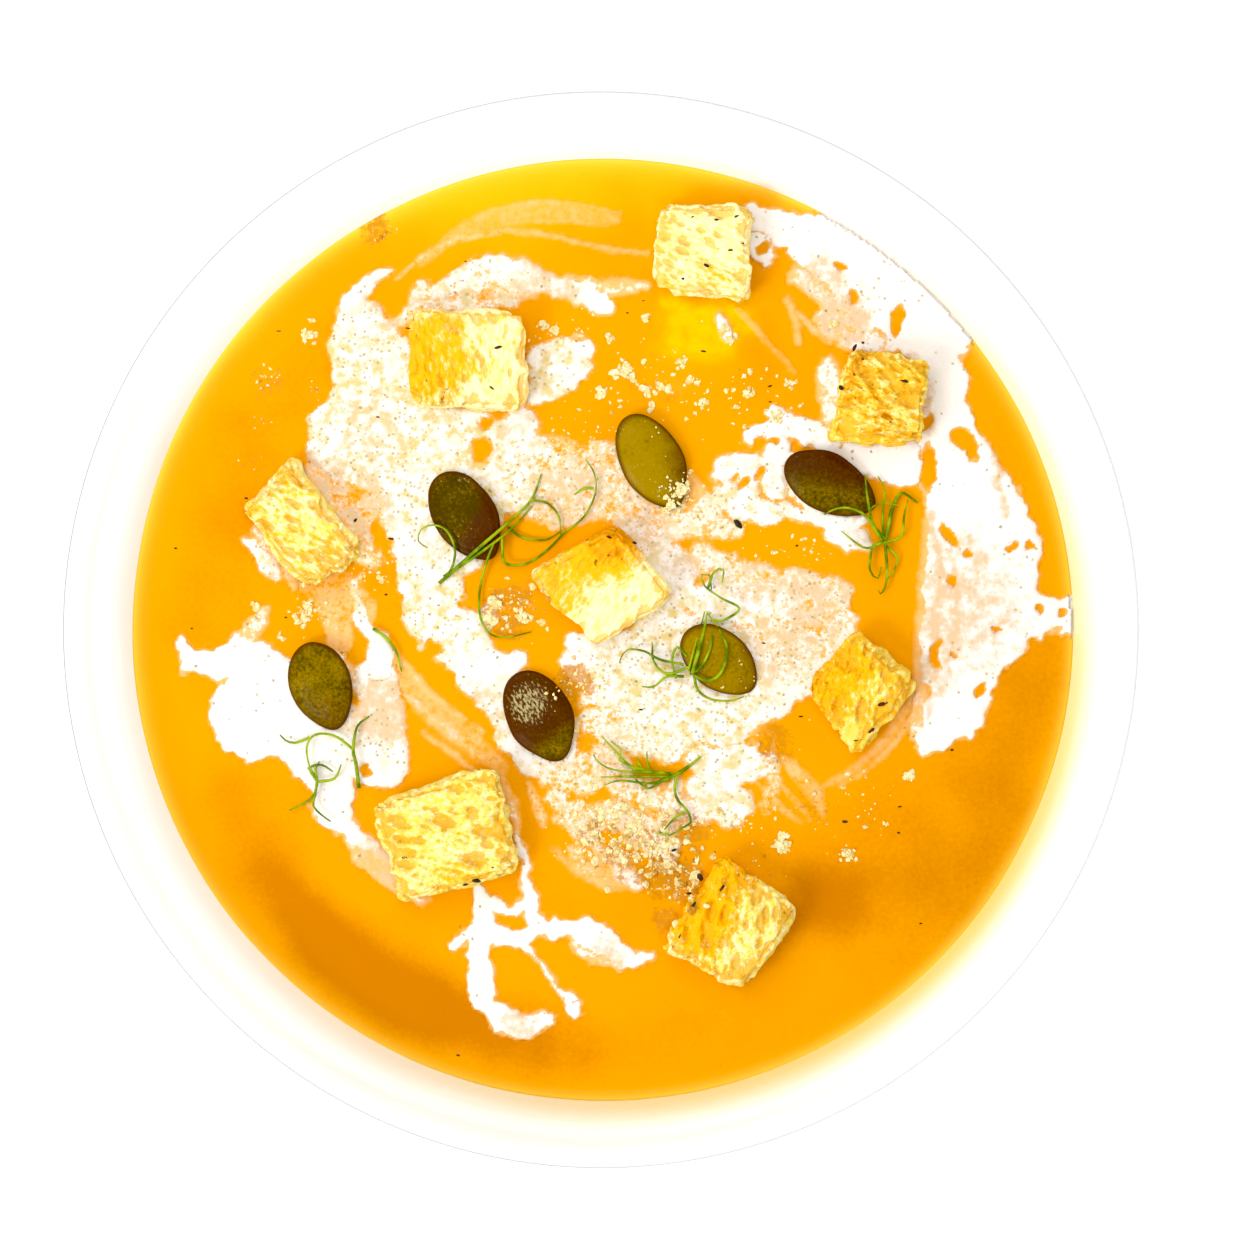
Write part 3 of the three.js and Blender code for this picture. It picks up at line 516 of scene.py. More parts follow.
# %% The arc on the right
CREAM_RIGHT = [
    (1.0, [(22.4, 62.4, 1.4), (25.6, 61, 2.2), (29.6, 58.6, 3), (33.4, 56.6, 3.6), (37.4, 54.4, 4.6),
           (42, 50.4, 5)]),
    (1.0, [(31, 60.4, 1.6), (36.6, 59.8, 3.2), (42, 56.4, 4), (47.4, 51.6, 4.4), (52, 46, 3.6),
           (53.8, 42.4, 1.5)]),
    (1.0, [(22.6, 58.4, 1.6), (24.6, 56.4, 1.6)]),
    (0.6, [(29.6, 53, 1.4), (32.8, 50.4, 1.6), (35.6, 47.6, 2), (39.6, 45.6, 2)]),
    (0.62, [(33, 47, 1.1), (35.6, 44.4, 1.6), (39.4, 43.2, 1.9), (43.6, 43, 1.9)]),
    (0.35, [(48.9, 16, 0.8), (48.7, 8, 1.2), (48.3, 0, 1.3), (47.6, -8, 1.0), (46.8, -14, 0.6)]),
    (1.0, [(43.4, 48, 3), (47.4, 44.4, 3.6), (50.6, 40.6, 3.2), (51.6, 36.6, 3.6)]),
    (1.0, [(50.6, 36, 2.4), (51.6, 31.6, 3.6), (53, 26, 5), (54.6, 21, 6.4)]),
    (0.95, [(55.4, 19, 6.8), (57.4, 13, 8), (57.6, 7, 8.2)]),
    (0.92, [(57.4, 7, 7.6), (57.2, 2, 7.6), (55.4, -2.6, 5.2)]),
    (1.0, [(49.5, 14, 0.9), (49.6, 7, 1.2), (49.4, 0, 1.3), (49.4, -7, 1.6)]),
    (1.0, [(62, 3.4, 2.2), (66.6, 2.8, 2.3), (70.6, 2.2, 2.9)]),
    (0.95, [(62.8, 0.6, 2), (65.4, 0.4, 1.6)]),
    (0.9, [(55.6, -3.6, 4.4), (54.4, -8.4, 4.4), (53.2, -12.4, 4.2)]),
    (0.95, [(51, -12.6, 3), (51, -15.6, 2.4), (48.6, -17, 1.6)]),
    (0.5, [(47.6, -8, 1), (47.6, -12, 1.6), (47.4, -15.6, 1.4)]),
    (0.4, [(28, 49.6, 0.6), (29.2, 46.6, 0.6), (29.6, 43, 0.4)]),
    (0.42, [(29.4, 47.4, 0.5), (32, 45, 0.5), (34.6, 43, 0.4)]),
]
print(f"right: {len(CREAM_RIGHT)} strokes")

# %% The splash at the left
CREAM_LEFT = [
    (1.0, [(-63.6, -2.2, 0.9), (-62, -4.4, 1.7), (-58.4, -5, 2.3), (-54.6, -4.6, 2.6)]),
    (1.0, [(-55.4, -1, 0.8), (-54.6, -3, 2.2), (-50, -6, 3.2), (-46, -8, 2.6)]),
    (1.0, [(-54.6, -9.4, 2.6), (-54.6, -13, 4.4), (-52, -15, 4.6), (-47.6, -14.6, 4.6)]),
    (1.0, [(-50, -10, 3.8), (-47, -12, 3.4), (-45.4, -17, 3.8), (-42, -19.6, 3.8)]),
    (1.0, [(-41, -21, 3.6), (-40.6, -24.4, 3.2), (-41.4, -26.6, 2.6), (-39.4, -28.6, 1.6)]),
    (0.95, [(-39.2, -29, 1.3), (-36.8, -31, 1.0), (-33.6, -33, 0.9), (-31, -34.6, 0.8)]),
    (0.52, [(-38, -31.4, 0.9), (-34.6, -34.4, 1.8), (-30.6, -37.6, 1.7), (-26.6, -40.6, 0.9)]),
    (0.55, [(-53.6, -1, 1.6), (-51.6, 1.4, 1.5), (-50.4, 3.2, 0.6)]),
    (0.93, [(-38, -18, 2.6), (-35.4, -21, 2.4), (-32, -21.6, 1.9), (-31.4, -18.4, 2.2)]),
    (1.0, [(-47, -9, 3), (-42.6, -12, 3.6), (-38.4, -14, 3)]),
    (0.6, [(-40, -5, 2), (-37.4, -8, 1.6)]),
    (0.94, [(-33.6, -7, 2.8), (-33.4, -11, 3.4), (-33.2, -15, 3.6), (-32, -18, 3)]),
    (0.85, [(-53.8, 13.6, 0.7), (-51.4, 12, 1.2), (-50, 9.6, 1.6), (-48.8, 8.6, 1.0)]),
    (0.5, [(-52, 15, 1), (-49.4, 12.4, 1.6), (-47, 10, 1), (-46, 7, 0.9)]),
]
print(f"left: {len(CREAM_LEFT)} strokes")

# %% The squiggle at the bottom
CREAM_BOTTOM = [
    (1.0, [(-18.6, -38.6, 0.8), (-18.1, -41, 1.3), (-17.9, -45, 1.6), (-18.4, -49, 1.7), (-18.2, -53, 1.7)]),
    (0.97, [(-18.2, -52, 1.6), (-17.2, -56, 1.7), (-14.4, -58.8, 1.8), (-11, -59.6, 1.8),
            (-8.6, -58.8, 1.3)]),
    (1.0, [(-22, -47, 0.7), (-20.4, -46, 1.0), (-17.6, -45.4, 1.5), (-13, -46, 1.4), (-9, -45.2, 1.3),
           (-5.6, -44.6, 1.3)]),
    (0.97, [(-6, -44.2, 1), (-3, -45, 1.5), (0, -46.8, 1.9), (3, -48.8, 1.8), (5.4, -49.4, 1.0),
            (8, -48.9, 0.4)]),
    (1.0, [(-16.4, -41, 0.9), (-13.8, -42.3, 0.7), (-11.4, -41.4, 0.7)]),
    (1.0, [(-10.6, -40.6, 0.9), (-10.2, -42.6, 1.2), (-9.4, -44.6, 1.3)]),
    (0.8, [(-12.6, -31, 0.6), (-11.8, -34, 0.7), (-11.3, -37.6, 0.7), (-10.6, -40.6, 0.9)]),
    (0.85, [(-12.6, -46.8, 0.9), (-10.6, -48.6, 0.45), (-8.4, -51.2, 0.28), (-6.4, -53.6, 0.3),
            (-5, -55, 0.5)]),
    (1.0, [(-4.9, -55.4, 0.7), (-4.2, -56.6, 1.3), (-3.3, -58, 0.7)]),
    (0.55, [(-4, -47, 0.8), (-1, -49.4, 0.7), (2.6, -51, 0.5)]),
]
print(f"bottom: {len(CREAM_BOTTOM)} strokes")

# %% The four patches
CREAM_STROKES = {
    "cream_main": CREAM_MAIN,
    "cream_right": CREAM_RIGHT,
    "cream_left": CREAM_LEFT,
    "cream_bottom": CREAM_BOTTOM,
}
print(f"cream: {sum(map(len, CREAM_STROKES.values()))} strokes in {len(CREAM_STROKES)} patches")

# %% Gaps in the cream
# Places where the soup shows through: x, y, half length, half width and turn.
CREAM_GAPS = [
    (-18, 27.4, 2.1, 1.1, 72), (-17.4, 31.2, 1.1, 0.8, 20), (24.2, 57.2, 0.9, 0.7, 0),
    (26.8, 57, 0.9, 0.5, 20), (35.8, 54.2, 0.7, 0.6, 0), (37.8, 50, 1.4, 0.7, 110),
    (44.5, 45.9, 2.3, 0.8, 88), (49.2, 31.2, 1.6, 0.7, 50), (49.3, 24.3, 3.4, 1.1, 88),
    (54.2, 28.4, 1.9, 1.4, -20), (55.4, 26.8, 1.2, 1.1, 60), (52.3, 14, 2.3, 0.6, -52),
    (61.6, 12.3, 0.9, 0.6, 30), (64.2, 12.2, 0.5, 0.4, 0), (55.2, 11.4, 0.6, 0.5, 0),
    (52.2, 7.2, 1.3, 0.6, 100), (50.2, -3.8, 1.9, 0.8, 78), (57, -9, 1.5, 0.6, 60),
    (53.4, -4, 0.6, 0.4, 0), (59.6, 0.3, 0.7, 0.5, 0), (68.8, 2.4, 0.9, 0.5, 90),
    (65.4, 3.4, 0.5, 0.4, 0), (24, 28.4, 0.7, 0.6, 0), (26, 28.4, 0.7, 0.6, 0),
    (24.4, 23.4, 1.0, 0.7, 60), (21.8, 22.2, 1.2, 0.4, 40), (-25.4, -3, 1.6, 0.9, 10),
    (-22.6, -7.8, 0.9, 0.5, 30), (-35.2, -21.4, 1.0, 0.6, -20), (-13.6, -43.6, 1.6, 0.6, -10),
    (-31.2, 49.6, 2.4, 1.8, 80), (-33.6, 14.6, 2.6, 0.8, 90), (1.2, -31.6, 2, 1, 0),
    (-6.4, -31.4, 2.4, 1.1, -5), (24.5, -17, 1.6, 0.7, 80),
]

layers = {}
for name, strokes in CREAM_STROKES.items():
    layers[name] = np.zeros(map_x.shape)
    for density, stroke in strokes:
        lay_stroke(layers[name], density, stroke)
gap_mask = np.zeros(map_x.shape)
for gap_x, gap_y, long, wide, turn in CREAM_GAPS:
    angle = math.radians(turn)
    u = (wander_x - gap_x) * math.cos(angle) + (wander_y - gap_y) * math.sin(angle)
    v = (wander_y - gap_y) * math.cos(angle) - (wander_x - gap_x) * math.sin(angle)
    gap_mask = np.maximum(gap_mask, rise(1 - np.hypot(u / (long + 0.25), v / (wide + 0.25)), -0.25, 0.35))
cream_map = np.max(list(layers.values()), axis=0) * (1 - gap_mask)
print(f"cream covers {100 * np.mean(cream_map[np.hypot(map_x, map_y) < 70] > 0.5):.0f}% of the soup")

# %% [markdown]
# ## The croutons' and seeds' places
# The soup has to creep up round what floats in it, and the dill has to climb over the seeds, so the
# places of both come before the soup. They are the same numbers as in the part itself: the middle
# of the top, the size, the turn, how far the top stands out of the soup, and the lean.

# %% Places of croutons and seeds
SOUP_LEVEL = 47  # surface of the soup above the table, mm
SOUP_EDGE = 70.5  # inside radius of the bowl there
CREAM_RISE = 0.5  # thick cream above the soup
CROUTONS = [
    dict(at=(14.8, 56.2), size=(14.4, 15.4, 9.5), turn=-3, rise=6, lean=(4, -3)),
    dict(at=(-19.8, 40.4), size=(18.4, 15.6, 13), turn=-2, rise=6.2, lean=(-3, 6)),
    dict(at=(42, 34.5), size=(12.8, 14.6, 13), turn=-7, rise=6.4, lean=(-5, 4)),
    dict(at=(-45.6, 15.4), size=(17.6, 12.2, 12), turn=-55, rise=5, lean=(4, 5)),
    dict(at=(0.6, 6.3), size=(15.6, 14.6, 12.5), turn=42, rise=6, lean=(5, -5)),
    dict(at=(38.4, -9.2), size=(13.6, 13, 12), turn=43, rise=5.4, lean=(-4, -5)),
    dict(at=(-23.6, -30.4), size=(18.8, 17.6, 14), turn=13, rise=7, lean=(3, 3)),
    dict(at=(19.2, -43.8), size=(16.4, 15.4, 13), turn=57, rise=6.6, lean=(-4, 4)),
]
SEEDS = [
    dict(at=(-20.3, 17), turn=-57, size=(15, 9.6), lean=(5, -3)),
    dict(at=(7.7, 25.2), turn=-61, size=(15.6, 9.4), lean=(-6, 3)),
    dict(at=(34.4, 21.8), turn=-28, size=(15, 8.8), lean=(3, 4)),
    dict(at=(-42, -8.5), turn=-71, size=(13.8, 9.4), lean=(6, 3)),
    dict(at=(-9.2, -13), turn=-62, size=(14.8, 10), lean=(-4, -4)),
    dict(at=(17.8, -4.6), turn=-40, size=(13.4, 9), lean=(3, 6)),
]
SEED_THICKNESS = 3
SEED_RISE = 1.4  # middle of a seed above the soup


def turned_place(thing):
    """The map's points, seen from a thing's middle and along its own axes."""
    angle = math.radians(thing["turn"])
    x, y = map_x - thing["at"][0], map_y - thing["at"][1]
    return x * math.cos(angle) + y * math.sin(angle), y * math.cos(angle) - x * math.sin(angle)


def outside_box(crouton):
    """How far each point of the map lies outside a crouton."""
    u, v = turned_place(crouton)
    across = np.maximum(np.abs(u) - crouton["size"][0] / 2, 0)
    return np.hypot(across, np.maximum(np.abs(v) - crouton["size"][1] / 2, 0))


def seed_share(seed):
    """0 in the middle of a seed, 1 at its edge."""
    u, v = turned_place(seed)
    return np.hypot(u / (seed["size"][0] / 2), v / (seed["size"][1] / 2))


crouton_gap = np.min([outside_box(crouton) for crouton in CROUTONS], axis=0)
seed_shares = [seed_share(seed) for seed in SEEDS]
print(f"places: {len(CROUTONS)} croutons, {len(SEEDS)} seeds")

# %% [markdown]
# ## The soup's surface
# A thick soup is not a mirror. It creeps up the bowl's wall and the bread, keeps faint swells from
# the ladle, and bulges over a crouton that has sunk. All of that is one more layer of the map, and
# the cream's own thickness is added on top of it. The soup's top is a square grid pressed into a
# circle, which keeps its squares nearly alike from the middle to the edge, unlike a fan of rings.

# %% Heights
HUMP = dict(at=(17, 40.4), size=(23, 20), turn=12)
HUMP_RISE = 1.7
CREEP = 0.45  # how far the soup climbs the wall and the bread, mm
CREEP_REACH = 1.1  # and over what distance it falls back
SEED_CREEP = 0.2
SINK = 0.15  # the cream's outer edge dives below the soup
CREAM_FILM = 0.05  # the thinnest cream

hump_u, hump_v = turned_place(HUMP)
hump_share = np.hypot(hump_u / (HUMP["size"][0] / 2), hump_v / (HUMP["size"][1] / 2))
hump = rise(1 - hump_share, 0, 0.75)
radius_map = np.hypot(map_x, map_y)
soup_top = (
    SOUP_LEVEL
    + 0.1 * cloud(17, 21, map_x, map_y)
    + 0.04 * cloud(6, 22, map_x, map_y)
    + HUMP_RISE * hump
    + CREEP * np.exp(np.minimum(radius_map - SOUP_EDGE, 0) / CREEP_REACH)
    + CREEP * np.exp(-crouton_gap / CREEP_REACH)
)
for share in seed_shares:
    soup_top += SEED_CREEP * np.exp(-np.maximum(share - 1, 0) / 0.14)
foam = 0.05 * cloud(1.6, 23, map_x, map_y) + 0.03 * cloud(0.8, 24, map_x, map_y)
cream_top = soup_top + CREAM_FILM + (CREAM_RISE + foam) * rise(cream_map, 0.1, 0.95)
cream_top -= (CREAM_FILM + SINK) * (1 - rise(cream_map, 0.01, 0.06))
print(f"soup: from {soup_top.min():.2f} to {soup_top.max():.2f} mm above the table")


# %% Soup solid
def disc_grid(count):
    """A square grid pressed into a disc of radius 1, with its faces."""
    ticks = np.linspace(-1, 1, count + 1)
    u, v = np.meshgrid(ticks, ticks)
    x = u * np.sqrt(1 - v**2 / 2)
    y = v * np.sqrt(1 - u**2 / 2)
    index = np.arange((count + 1) ** 2).reshape(count + 1, count + 1)
    faces = np.stack([index[:-1, :-1], index[:-1, 1:], index[1:, 1:], index[1:, :-1]], -1)
    border = np.concatenate([index[0, :-1], index[:-1, -1], index[-1, :0:-1], index[:0:-1, 0]])
    return x.ravel(), y.ravel(), faces.reshape(-1, 4), border


SOUP_SQUARES = 300
SOUP_REACH = SOUP_EDGE + 0.36  # the soup meets the wall a little above its level
SOUP_SIDE = [(70.3, 46.6), (67.0, 39.6), (62.1, 31.8), (55.4, 23.8), (46.4, 16.2), (36.6, 12), (20, 10.1)]
SOUP_BOTTOM = 9.9  # at the bowl's middle
grid_x, grid_y, soup_faces, soup_border = disc_grid(SOUP_SQUARES)
top_x, top_y = grid_x * SOUP_REACH, grid_y * SOUP_REACH
soup_points = [np.stack([top_x, top_y, sample(soup_top, top_x, top_y)], -1)]
soup_quads = [soup_faces]
ring = soup_border
for side_radius, side_height in SOUP_SIDE:
    start = sum(len(part) for part in soup_points)
    around = np.stack([grid_x[soup_border] * side_radius, grid_y[soup_border] * side_radius], -1)
    soup_points.append(np.column_stack([around, np.full(len(around), side_height)]))
    below = start + np.arange(len(soup_border))
    soup_quads.append(np.stack([ring, below, np.roll(below, -1), np.roll(ring, -1)], -1))
    ring = below
start = sum(len(part) for part in soup_points)
soup_points.append(np.array([[0, 0, SOUP_BOTTOM]]))
middle = np.full(len(ring), start)
soup_points = np.vstack(soup_points)
soup_quads = np.vstack(soup_quads)
soup_triangles = np.concatenate([
    soup_quads[:, [0, 1, 2]],
    soup_quads[:, [0, 2, 3]],
    np.stack([ring, middle, np.roll(ring, -1)], -1),
])
print(f"soup: {len(soup_triangles)} triangles planned")

# %% [markdown]
# ## Patches on the cream
# Poured cream is not alike all over. In places it has curdled to fine grains, the soup below has
# warmed it to the colour of peach, or crumbs have dusted it, with painted shade between the crumbs.
# Each of these is a layer of the map. A few soft round spots are enough for it, because the finish
# breaks them up with its own noise.

# %% Where the cream is curdled and where it is warm
# Spots: x, y, radius and strength.
CURDLED = [
    (-34, 34, 20, 1.0), (-22, 22, 16, 1.0), (-24, 4, 13, 0.9), (0, 20, 18, 1.0), (22, 14, 16, 0.7),
    (12, -8, 20, 1.0), (28, 2, 14, 0.9), (0, -24, 16, 1.0), (16, -22, 12, 0.7), (-22, 50, 14, 0.7),
    (-7, 39, 8, 0.8), (-40, 10, 12, 0.8), (-4, 21, 12, 1.35), (29, 3, 12, 1.2), (5, -9, 12, 1.15),
    (0, -20, 12, 1.3), (-36, 22, 9, 1.2), (-14, -14, 10, 0.7), (-34, -14, 10, 0.55), (-47, 12, 8, 0.7),
    (36, 48, 9, 0.4), (24, -20, 12, 0.8),
]
WARM = [
    (32, 4, 8, 0.6), (26, -3, 7, 0.42), (24, 8, 7, 0.5), (-4, 20, 10, 0.5), (-36, 19, 8, 0.6),
    (-30, 50, 7, 0.5), (-8, 51, 8, 0.6), (-12, 28, 7, 0.35), (-33, -36, 7, 0.8), (33, 52, 6, 0.6),
    (0, -16, 7, 0.3), (-12, -59, 4, 0.5), (1, -49, 4, 0.5), (36, 46, 6, 0.8), (-35, 30, 9, 0.35),
    (2, -32, 7, 0.6), (49, -7, 6, 0.6), (-33, -12, 8, 0.7), (40, 15, 5, 0.3), (-4, -30, 8, 0.3),
    (52, 4, 16, 0.48), (-42, 22, 7, 0.6), (-47, 8, 6, 0.5), (-22, -14, 9, 0.6), (5, 16, 7, 0.5),
    (12, 9, 5, 0.4), (-24, -5, 4, 0.3),
]
WARM_STREAKS = [
    (1.0, [(49.2, 17, 0.4), (50.4, 9, 0.8), (50.4, 1, 1.0), (49.6, -7, 0.8), (49, -13, 0.4)]),
    (1.15, [(52.4, 12, 0.2), (53, 5, 0.5), (52.6, -2, 0.6), (51.6, -9, 0.2)]),
    (0.9, [(55.4, 14, 0.3), (55.6, 5, 0.4), (54.8, -3, 0.3)]),
    (0.8, [(47, 41, 0.4), (49, 36, 0.6), (49.4, 29, 0.4)]),
    (0.8, [(57, 31, 0.3), (59.4, 24, 0.5), (60.4, 17, 0.3)]),
]


def spots(rows):
    """Soft round spots on the map."""
    layer = np.zeros(map_x.shape)
    for x, y, size, strength in rows:
        near = 1 - np.hypot(wander_x - x, wander_y - y) / size
        layer = np.maximum(layer, strength * rise(near, 0, 0.6))
    return layer


grain_map = 0.16 + 0.84 * spots(CURDLED)
warm_map = spots(WARM)
for strength, stroke in WARM_STREAKS:
    lay_stroke(warm_map, strength, stroke, edge=1.2)
print(f"cream: curdled over {100 * np.mean(grain_map > 0.5):.0f}% of the map")

# %% Where crumbs have dusted it, with painted shade between them
# Spots: x, y, radius and strength.
DUST_AND_SHADE = [
    (4, -34, 8, 0.5), (-1, -30, 5, 0.35), (12.6, -31, 6, 0.6), (13, -38, 5, 1.0), (8, -37, 5, 0.7),
    (-4, -7.6, 4, 0.9), (26, -17, 5, 0.6), (32, -26, 6, 0.35), (-14, 3, 6, 0.75), (-34, 61, 4, 0.6),
    (-51, 37, 4, 0.5), (8, 36, 8, 0.25), (-42, 8, 7, 0.4), (10, -44, 4, 0.6),
]
dust_and_shade_map = spots(DUST_AND_SHADE)
print(f"dust: {len(DUST_AND_SHADE)} spots")

# %% [markdown]
# ## Soup and cream as one finish
# Pumpkin soup is a deep orange purée with a faint grain. Cream over it is never simply on or off:
# where it is thick it is white, where it has run thin it is a peach-coloured veil, and in between it
# breaks up into specks and pinholes. Both pieces share one recipe that reads the painted thickness,
# so that no line shows where the cream's mesh dips into the soup's.

# %% Finish of soup and cream
SOUP_DEEP_AND_SHADED = (0.46, 0.148, 0.0004)
SOUP_ORANGE = (0.68, 0.262, 0.0008)
SOUP_LIGHT_AND_LIT = (0.72, 0.37, 0.003)
SOUP_SHEEN = (0.75, 0.45, 0.002)
SOUP_EDGE_LIT = (0.84, 0.58, 0.07)
CREAM_WHITE = (0.75, 0.70, 0.645)
CREAM_CURD = (0.60, 0.455, 0.18)
CREAM_PEACH = (0.62, 0.425, 0.25)
CREAM_VEIL = (0.72, 0.42, 0.16)
SPECK = (0.22, 0.17, 0.05)
BROWN_DUST_AND_SHADE = (0.46, 0.185, 0.010)
DUST_PALE = (0.76, 0.60, 0.27)
MOTE = (0.40, 0.31, 0.12)
PINHOLE = (0.68, 0.38, 0.06)


def soup_and_cream(name, roughness):
    finish = Finish(name)
    cream, grain = finish.painted("cream"), finish.painted("grain")
    warm, painted_sheen = finish.painted("warm"), finish.painted("painted_sheen")
    tone, edge_light = finish.painted("tone"), finish.painted("edge_light")
    dust_and_shade = finish.painted("dust_and_shade")
    mottle = finish.noise(2.4, 2) - 0.5
    froth = finish.noise(0.66, 3, roughness=0.68) - 0.5
    flour = finish.noise(1.1, 3, roughness=0.62) - 0.5
    ladle = finish.noise(14, 2) - 0.5

    # Painted light and shade: the tone layer darkens the soup to its deep colour in painted shade and
    # lightens it in painted light, together with the ladle's random swells.
    soup = finish.mix(SOUP_DEEP_AND_SHADED, SOUP_ORANGE, (tone + ladle * 1.0 + froth * 0.6 + 0.95).step(0, 1))
    soup = finish.mix(soup, SOUP_LIGHT_AND_LIT, (tone + ladle * 1.0).step(0.15, 1.3))
    # Painted sheen and reflection: the soup turns yellow over the sunk crouton's hump.
    soup = finish.mix(soup, SOUP_SHEEN, (painted_sheen + mottle * painted_sheen * 1.6).step(0, 1))
    # Painted light: the soup pales at its edge by the wall, more on the lit side.
    soup = finish.mix(soup, SOUP_EDGE_LIT, edge_light)

    rough_edge = mottle * (0.3 + grain * 1.3) + froth * (0.3 + grain * (2.6 - cream * 1.9))
    thickness = cream + rough_edge * cream.step(0.05, 0.5)
    veil = (thickness + flour * 0.35).step(0.04, 0.46) * thickness.step(0.0, 0.08)
    body = ((thickness - 0.54) * (7.0 - grain * 4.0) + 0.5).step(0, 1)
    curd = (0.42 + mottle * 2.2 + flour * 1.9 + froth * 0.6).step(0.1, 0.95) * (grain * 1.15 - 0.1).step(0, 1)
    peach = (warm * 1.2 + (mottle * 1.4 + flour * 1.6) * warm.step(0.02, 0.3) - 0.08).step(0.0, 1.0)
    milk = finish.mix(CREAM_WHITE, CREAM_CURD, curd)
    milk = finish.mix(milk, CREAM_PEACH, peach)
    colour = finish.mix(soup, CREAM_VEIL, veil * 0.85)
    colour = finish.mix(colour, milk, body)

    lot = finish.lot(finish.cells(1.3, "Color"))
    dots = (1 - (finish.cells(1.3) + froth * 0.6 + lot * 0.12).step(0.1, 0.24)) * veil
    colour = finish.mix(colour, PINHOLE, dots * (lot + grain * 0.2 - cream * 0.1).step(0.84, 0.86) * 0.7)
    colour = finish.mix(colour, SPECK, dots * (grain * 0.6 + 0.03 - lot).step(0.0, 0.02) * 0.75)
    pick = finish.lot(finish.cells(0.85, "Color"))
    motes = (1 - (finish.cells(0.85) + froth * 0.8).step(0.14, 0.34)) * body
    motes = motes * (grain * 0.7 - pick).step(0.0, 0.1)
    colour = finish.mix(colour, MOTE, motes * 0.85)
    # Brown dust from the crumbs, which is also painted shade between the crumbs in the drifts.
    brown_dust_and_shade = (dust_and_shade * 1.3 + froth * 2.2 + mottle * 1.2 - 0.4).step(0.0, 0.6) * 0.85
    colour = finish.mix(colour, BROWN_DUST_AND_SHADE, brown_dust_and_shade)
    colour = finish.mix(colour, DUST_PALE, (dust_and_shade * 0.9 + flour * 3.4 - 1.0).step(0.0, 0.25))

    waves = finish.relief(finish.noise(2.2, 3), 0.08)
    foam = finish.relief(froth * body, 0.16, under=waves)
    return finish.finish(
        Base_Color=colour,
        Roughness=roughness + mottle * 0.12 + body * 0.12,
        Specular_IOR_Level=0.1,
        IOR=1.36,
        Normal=foam,
    )


soup_finish = soup_and_cream("pumpkin soup", 0.3)
cream_finish = soup_and_cream("poured cream", 0.34)
print("finishes: soup and cream")

# %% [markdown]
# ## The soup's own piece
# The soup's colour carries painted light and shade: it is lighter at its thin edge by the wall and
# towards the top, darker towards the right, with a painted shadow of the wall at the lower left and
# of a crouton at the lower right, and a painted yellow sheen and reflection over the crouton that
# has sunk. These tones are layers of the map too, worked out from the place in the bowl. All layers
# are then read at the soup's points and painted on them.

# %% Painted light and shade of the soup
# Painted light and shade on the soup: lighter towards the top, darker towards the right and in a painted
# shadow beside the lower right crouton. Rows: x, y, radius and tone.
LIGHT_AND_SHADE = [
    (-20, 70, 30, 1.0), (8, 70, 22, 0.5), (30, -36, 13, -0.3), (33.4, -40, 10, -0.6),
    (52, -36, 26, -0.55), (-56, 14, 36, -0.3), (-40, 44, 20, -0.2), (64, -10, 26, -0.5),
    (-10, 34, 14, 0.25), (24, 14, 14, 0.25), (0, -62, 14, 0.1),
]
tone_map = np.zeros(map_x.shape)
for x, y, size, tone in LIGHT_AND_SHADE:
    tone_map += tone * rise(size - np.hypot(map_x - x, map_y - y), 0, size)


# The bowl's wall throws a dark, curved band on the soup at the lower left.
DARK_BAND = dict(radius=62.5, width=6, side=-121, tone=1.35)
to_wall = np.minimum(radius_map - SOUP_EDGE, 0)
near_light = towards(map_x, map_y, 140)
dark_band = np.exp(-(((radius_map - DARK_BAND["radius"]) / DARK_BAND["width"]) ** 2))
tone_map -= DARK_BAND["tone"] * dark_band * towards(map_x, map_y, DARK_BAND["side"]) ** 15
# Painted light: the soup is lighter near the wall on the lit side, and paler still right at the wall.
tone_map += 0.9 * near_light * np.exp(to_wall / 2.4)
edge_light_map = (0.45 + 0.15 * near_light) * np.exp(to_wall / 0.75)
# Painted sheen and reflection of the crouton above: a soft yellow patch on the sunk crouton's hump.
sheen_place = np.hypot((map_x - 15) / 9.5, (map_y - 45.4) / 8) + 0.35 * cloud(4, 31, map_x, map_y)
painted_sheen_map = rise(1.4 - sheen_place, 0, 1.1) * rise(map_x + 1.6 * cloud(2.5, 32, map_x, map_y), 4.6, 9.6)
painted_sheen_map *= 0.3 + 0.45 * rise(map_y, 36, 47)
print(f"tones: from {tone_map.min():.1f} to {tone_map.max():.1f}")

# %% The soup's piece
SHADES = {
    "cream": cream_map, "grain": grain_map, "warm": warm_map, "painted_sheen": painted_sheen_map,
    "tone": tone_map, "edge_light": edge_light_map, "dust_and_shade": dust_and_shade_map,
}
all_x, all_y = soup_points[:, 0], soup_points[:, 1]
shades = {key: sample(layer, all_x, all_y) for key, layer in SHADES.items()}
soup = mesh_piece("soup_surface", soup_points, soup_triangles, soup_finish, shades)
hand_over(soup, "soup", "soup")

# %% [markdown]
# ## The cream as solids
# Each patch of cream is a slab cut out of the map: every square that holds cream gives a top face at
# the cream's height and a bottom face inside the soup, and the outline is closed with side faces.
# A square belongs to the patch that is thickest there, so that patches meet without a gap.

# %% Cream solids
CREAM_UNDERSIDE = SOUP_LEVEL - 1.2
LEAST_CREAM = 0.02  # thickness from which a square counts as cream
WALL_GAP = 0.4  # the cream stops short of the bowl's wall, mm


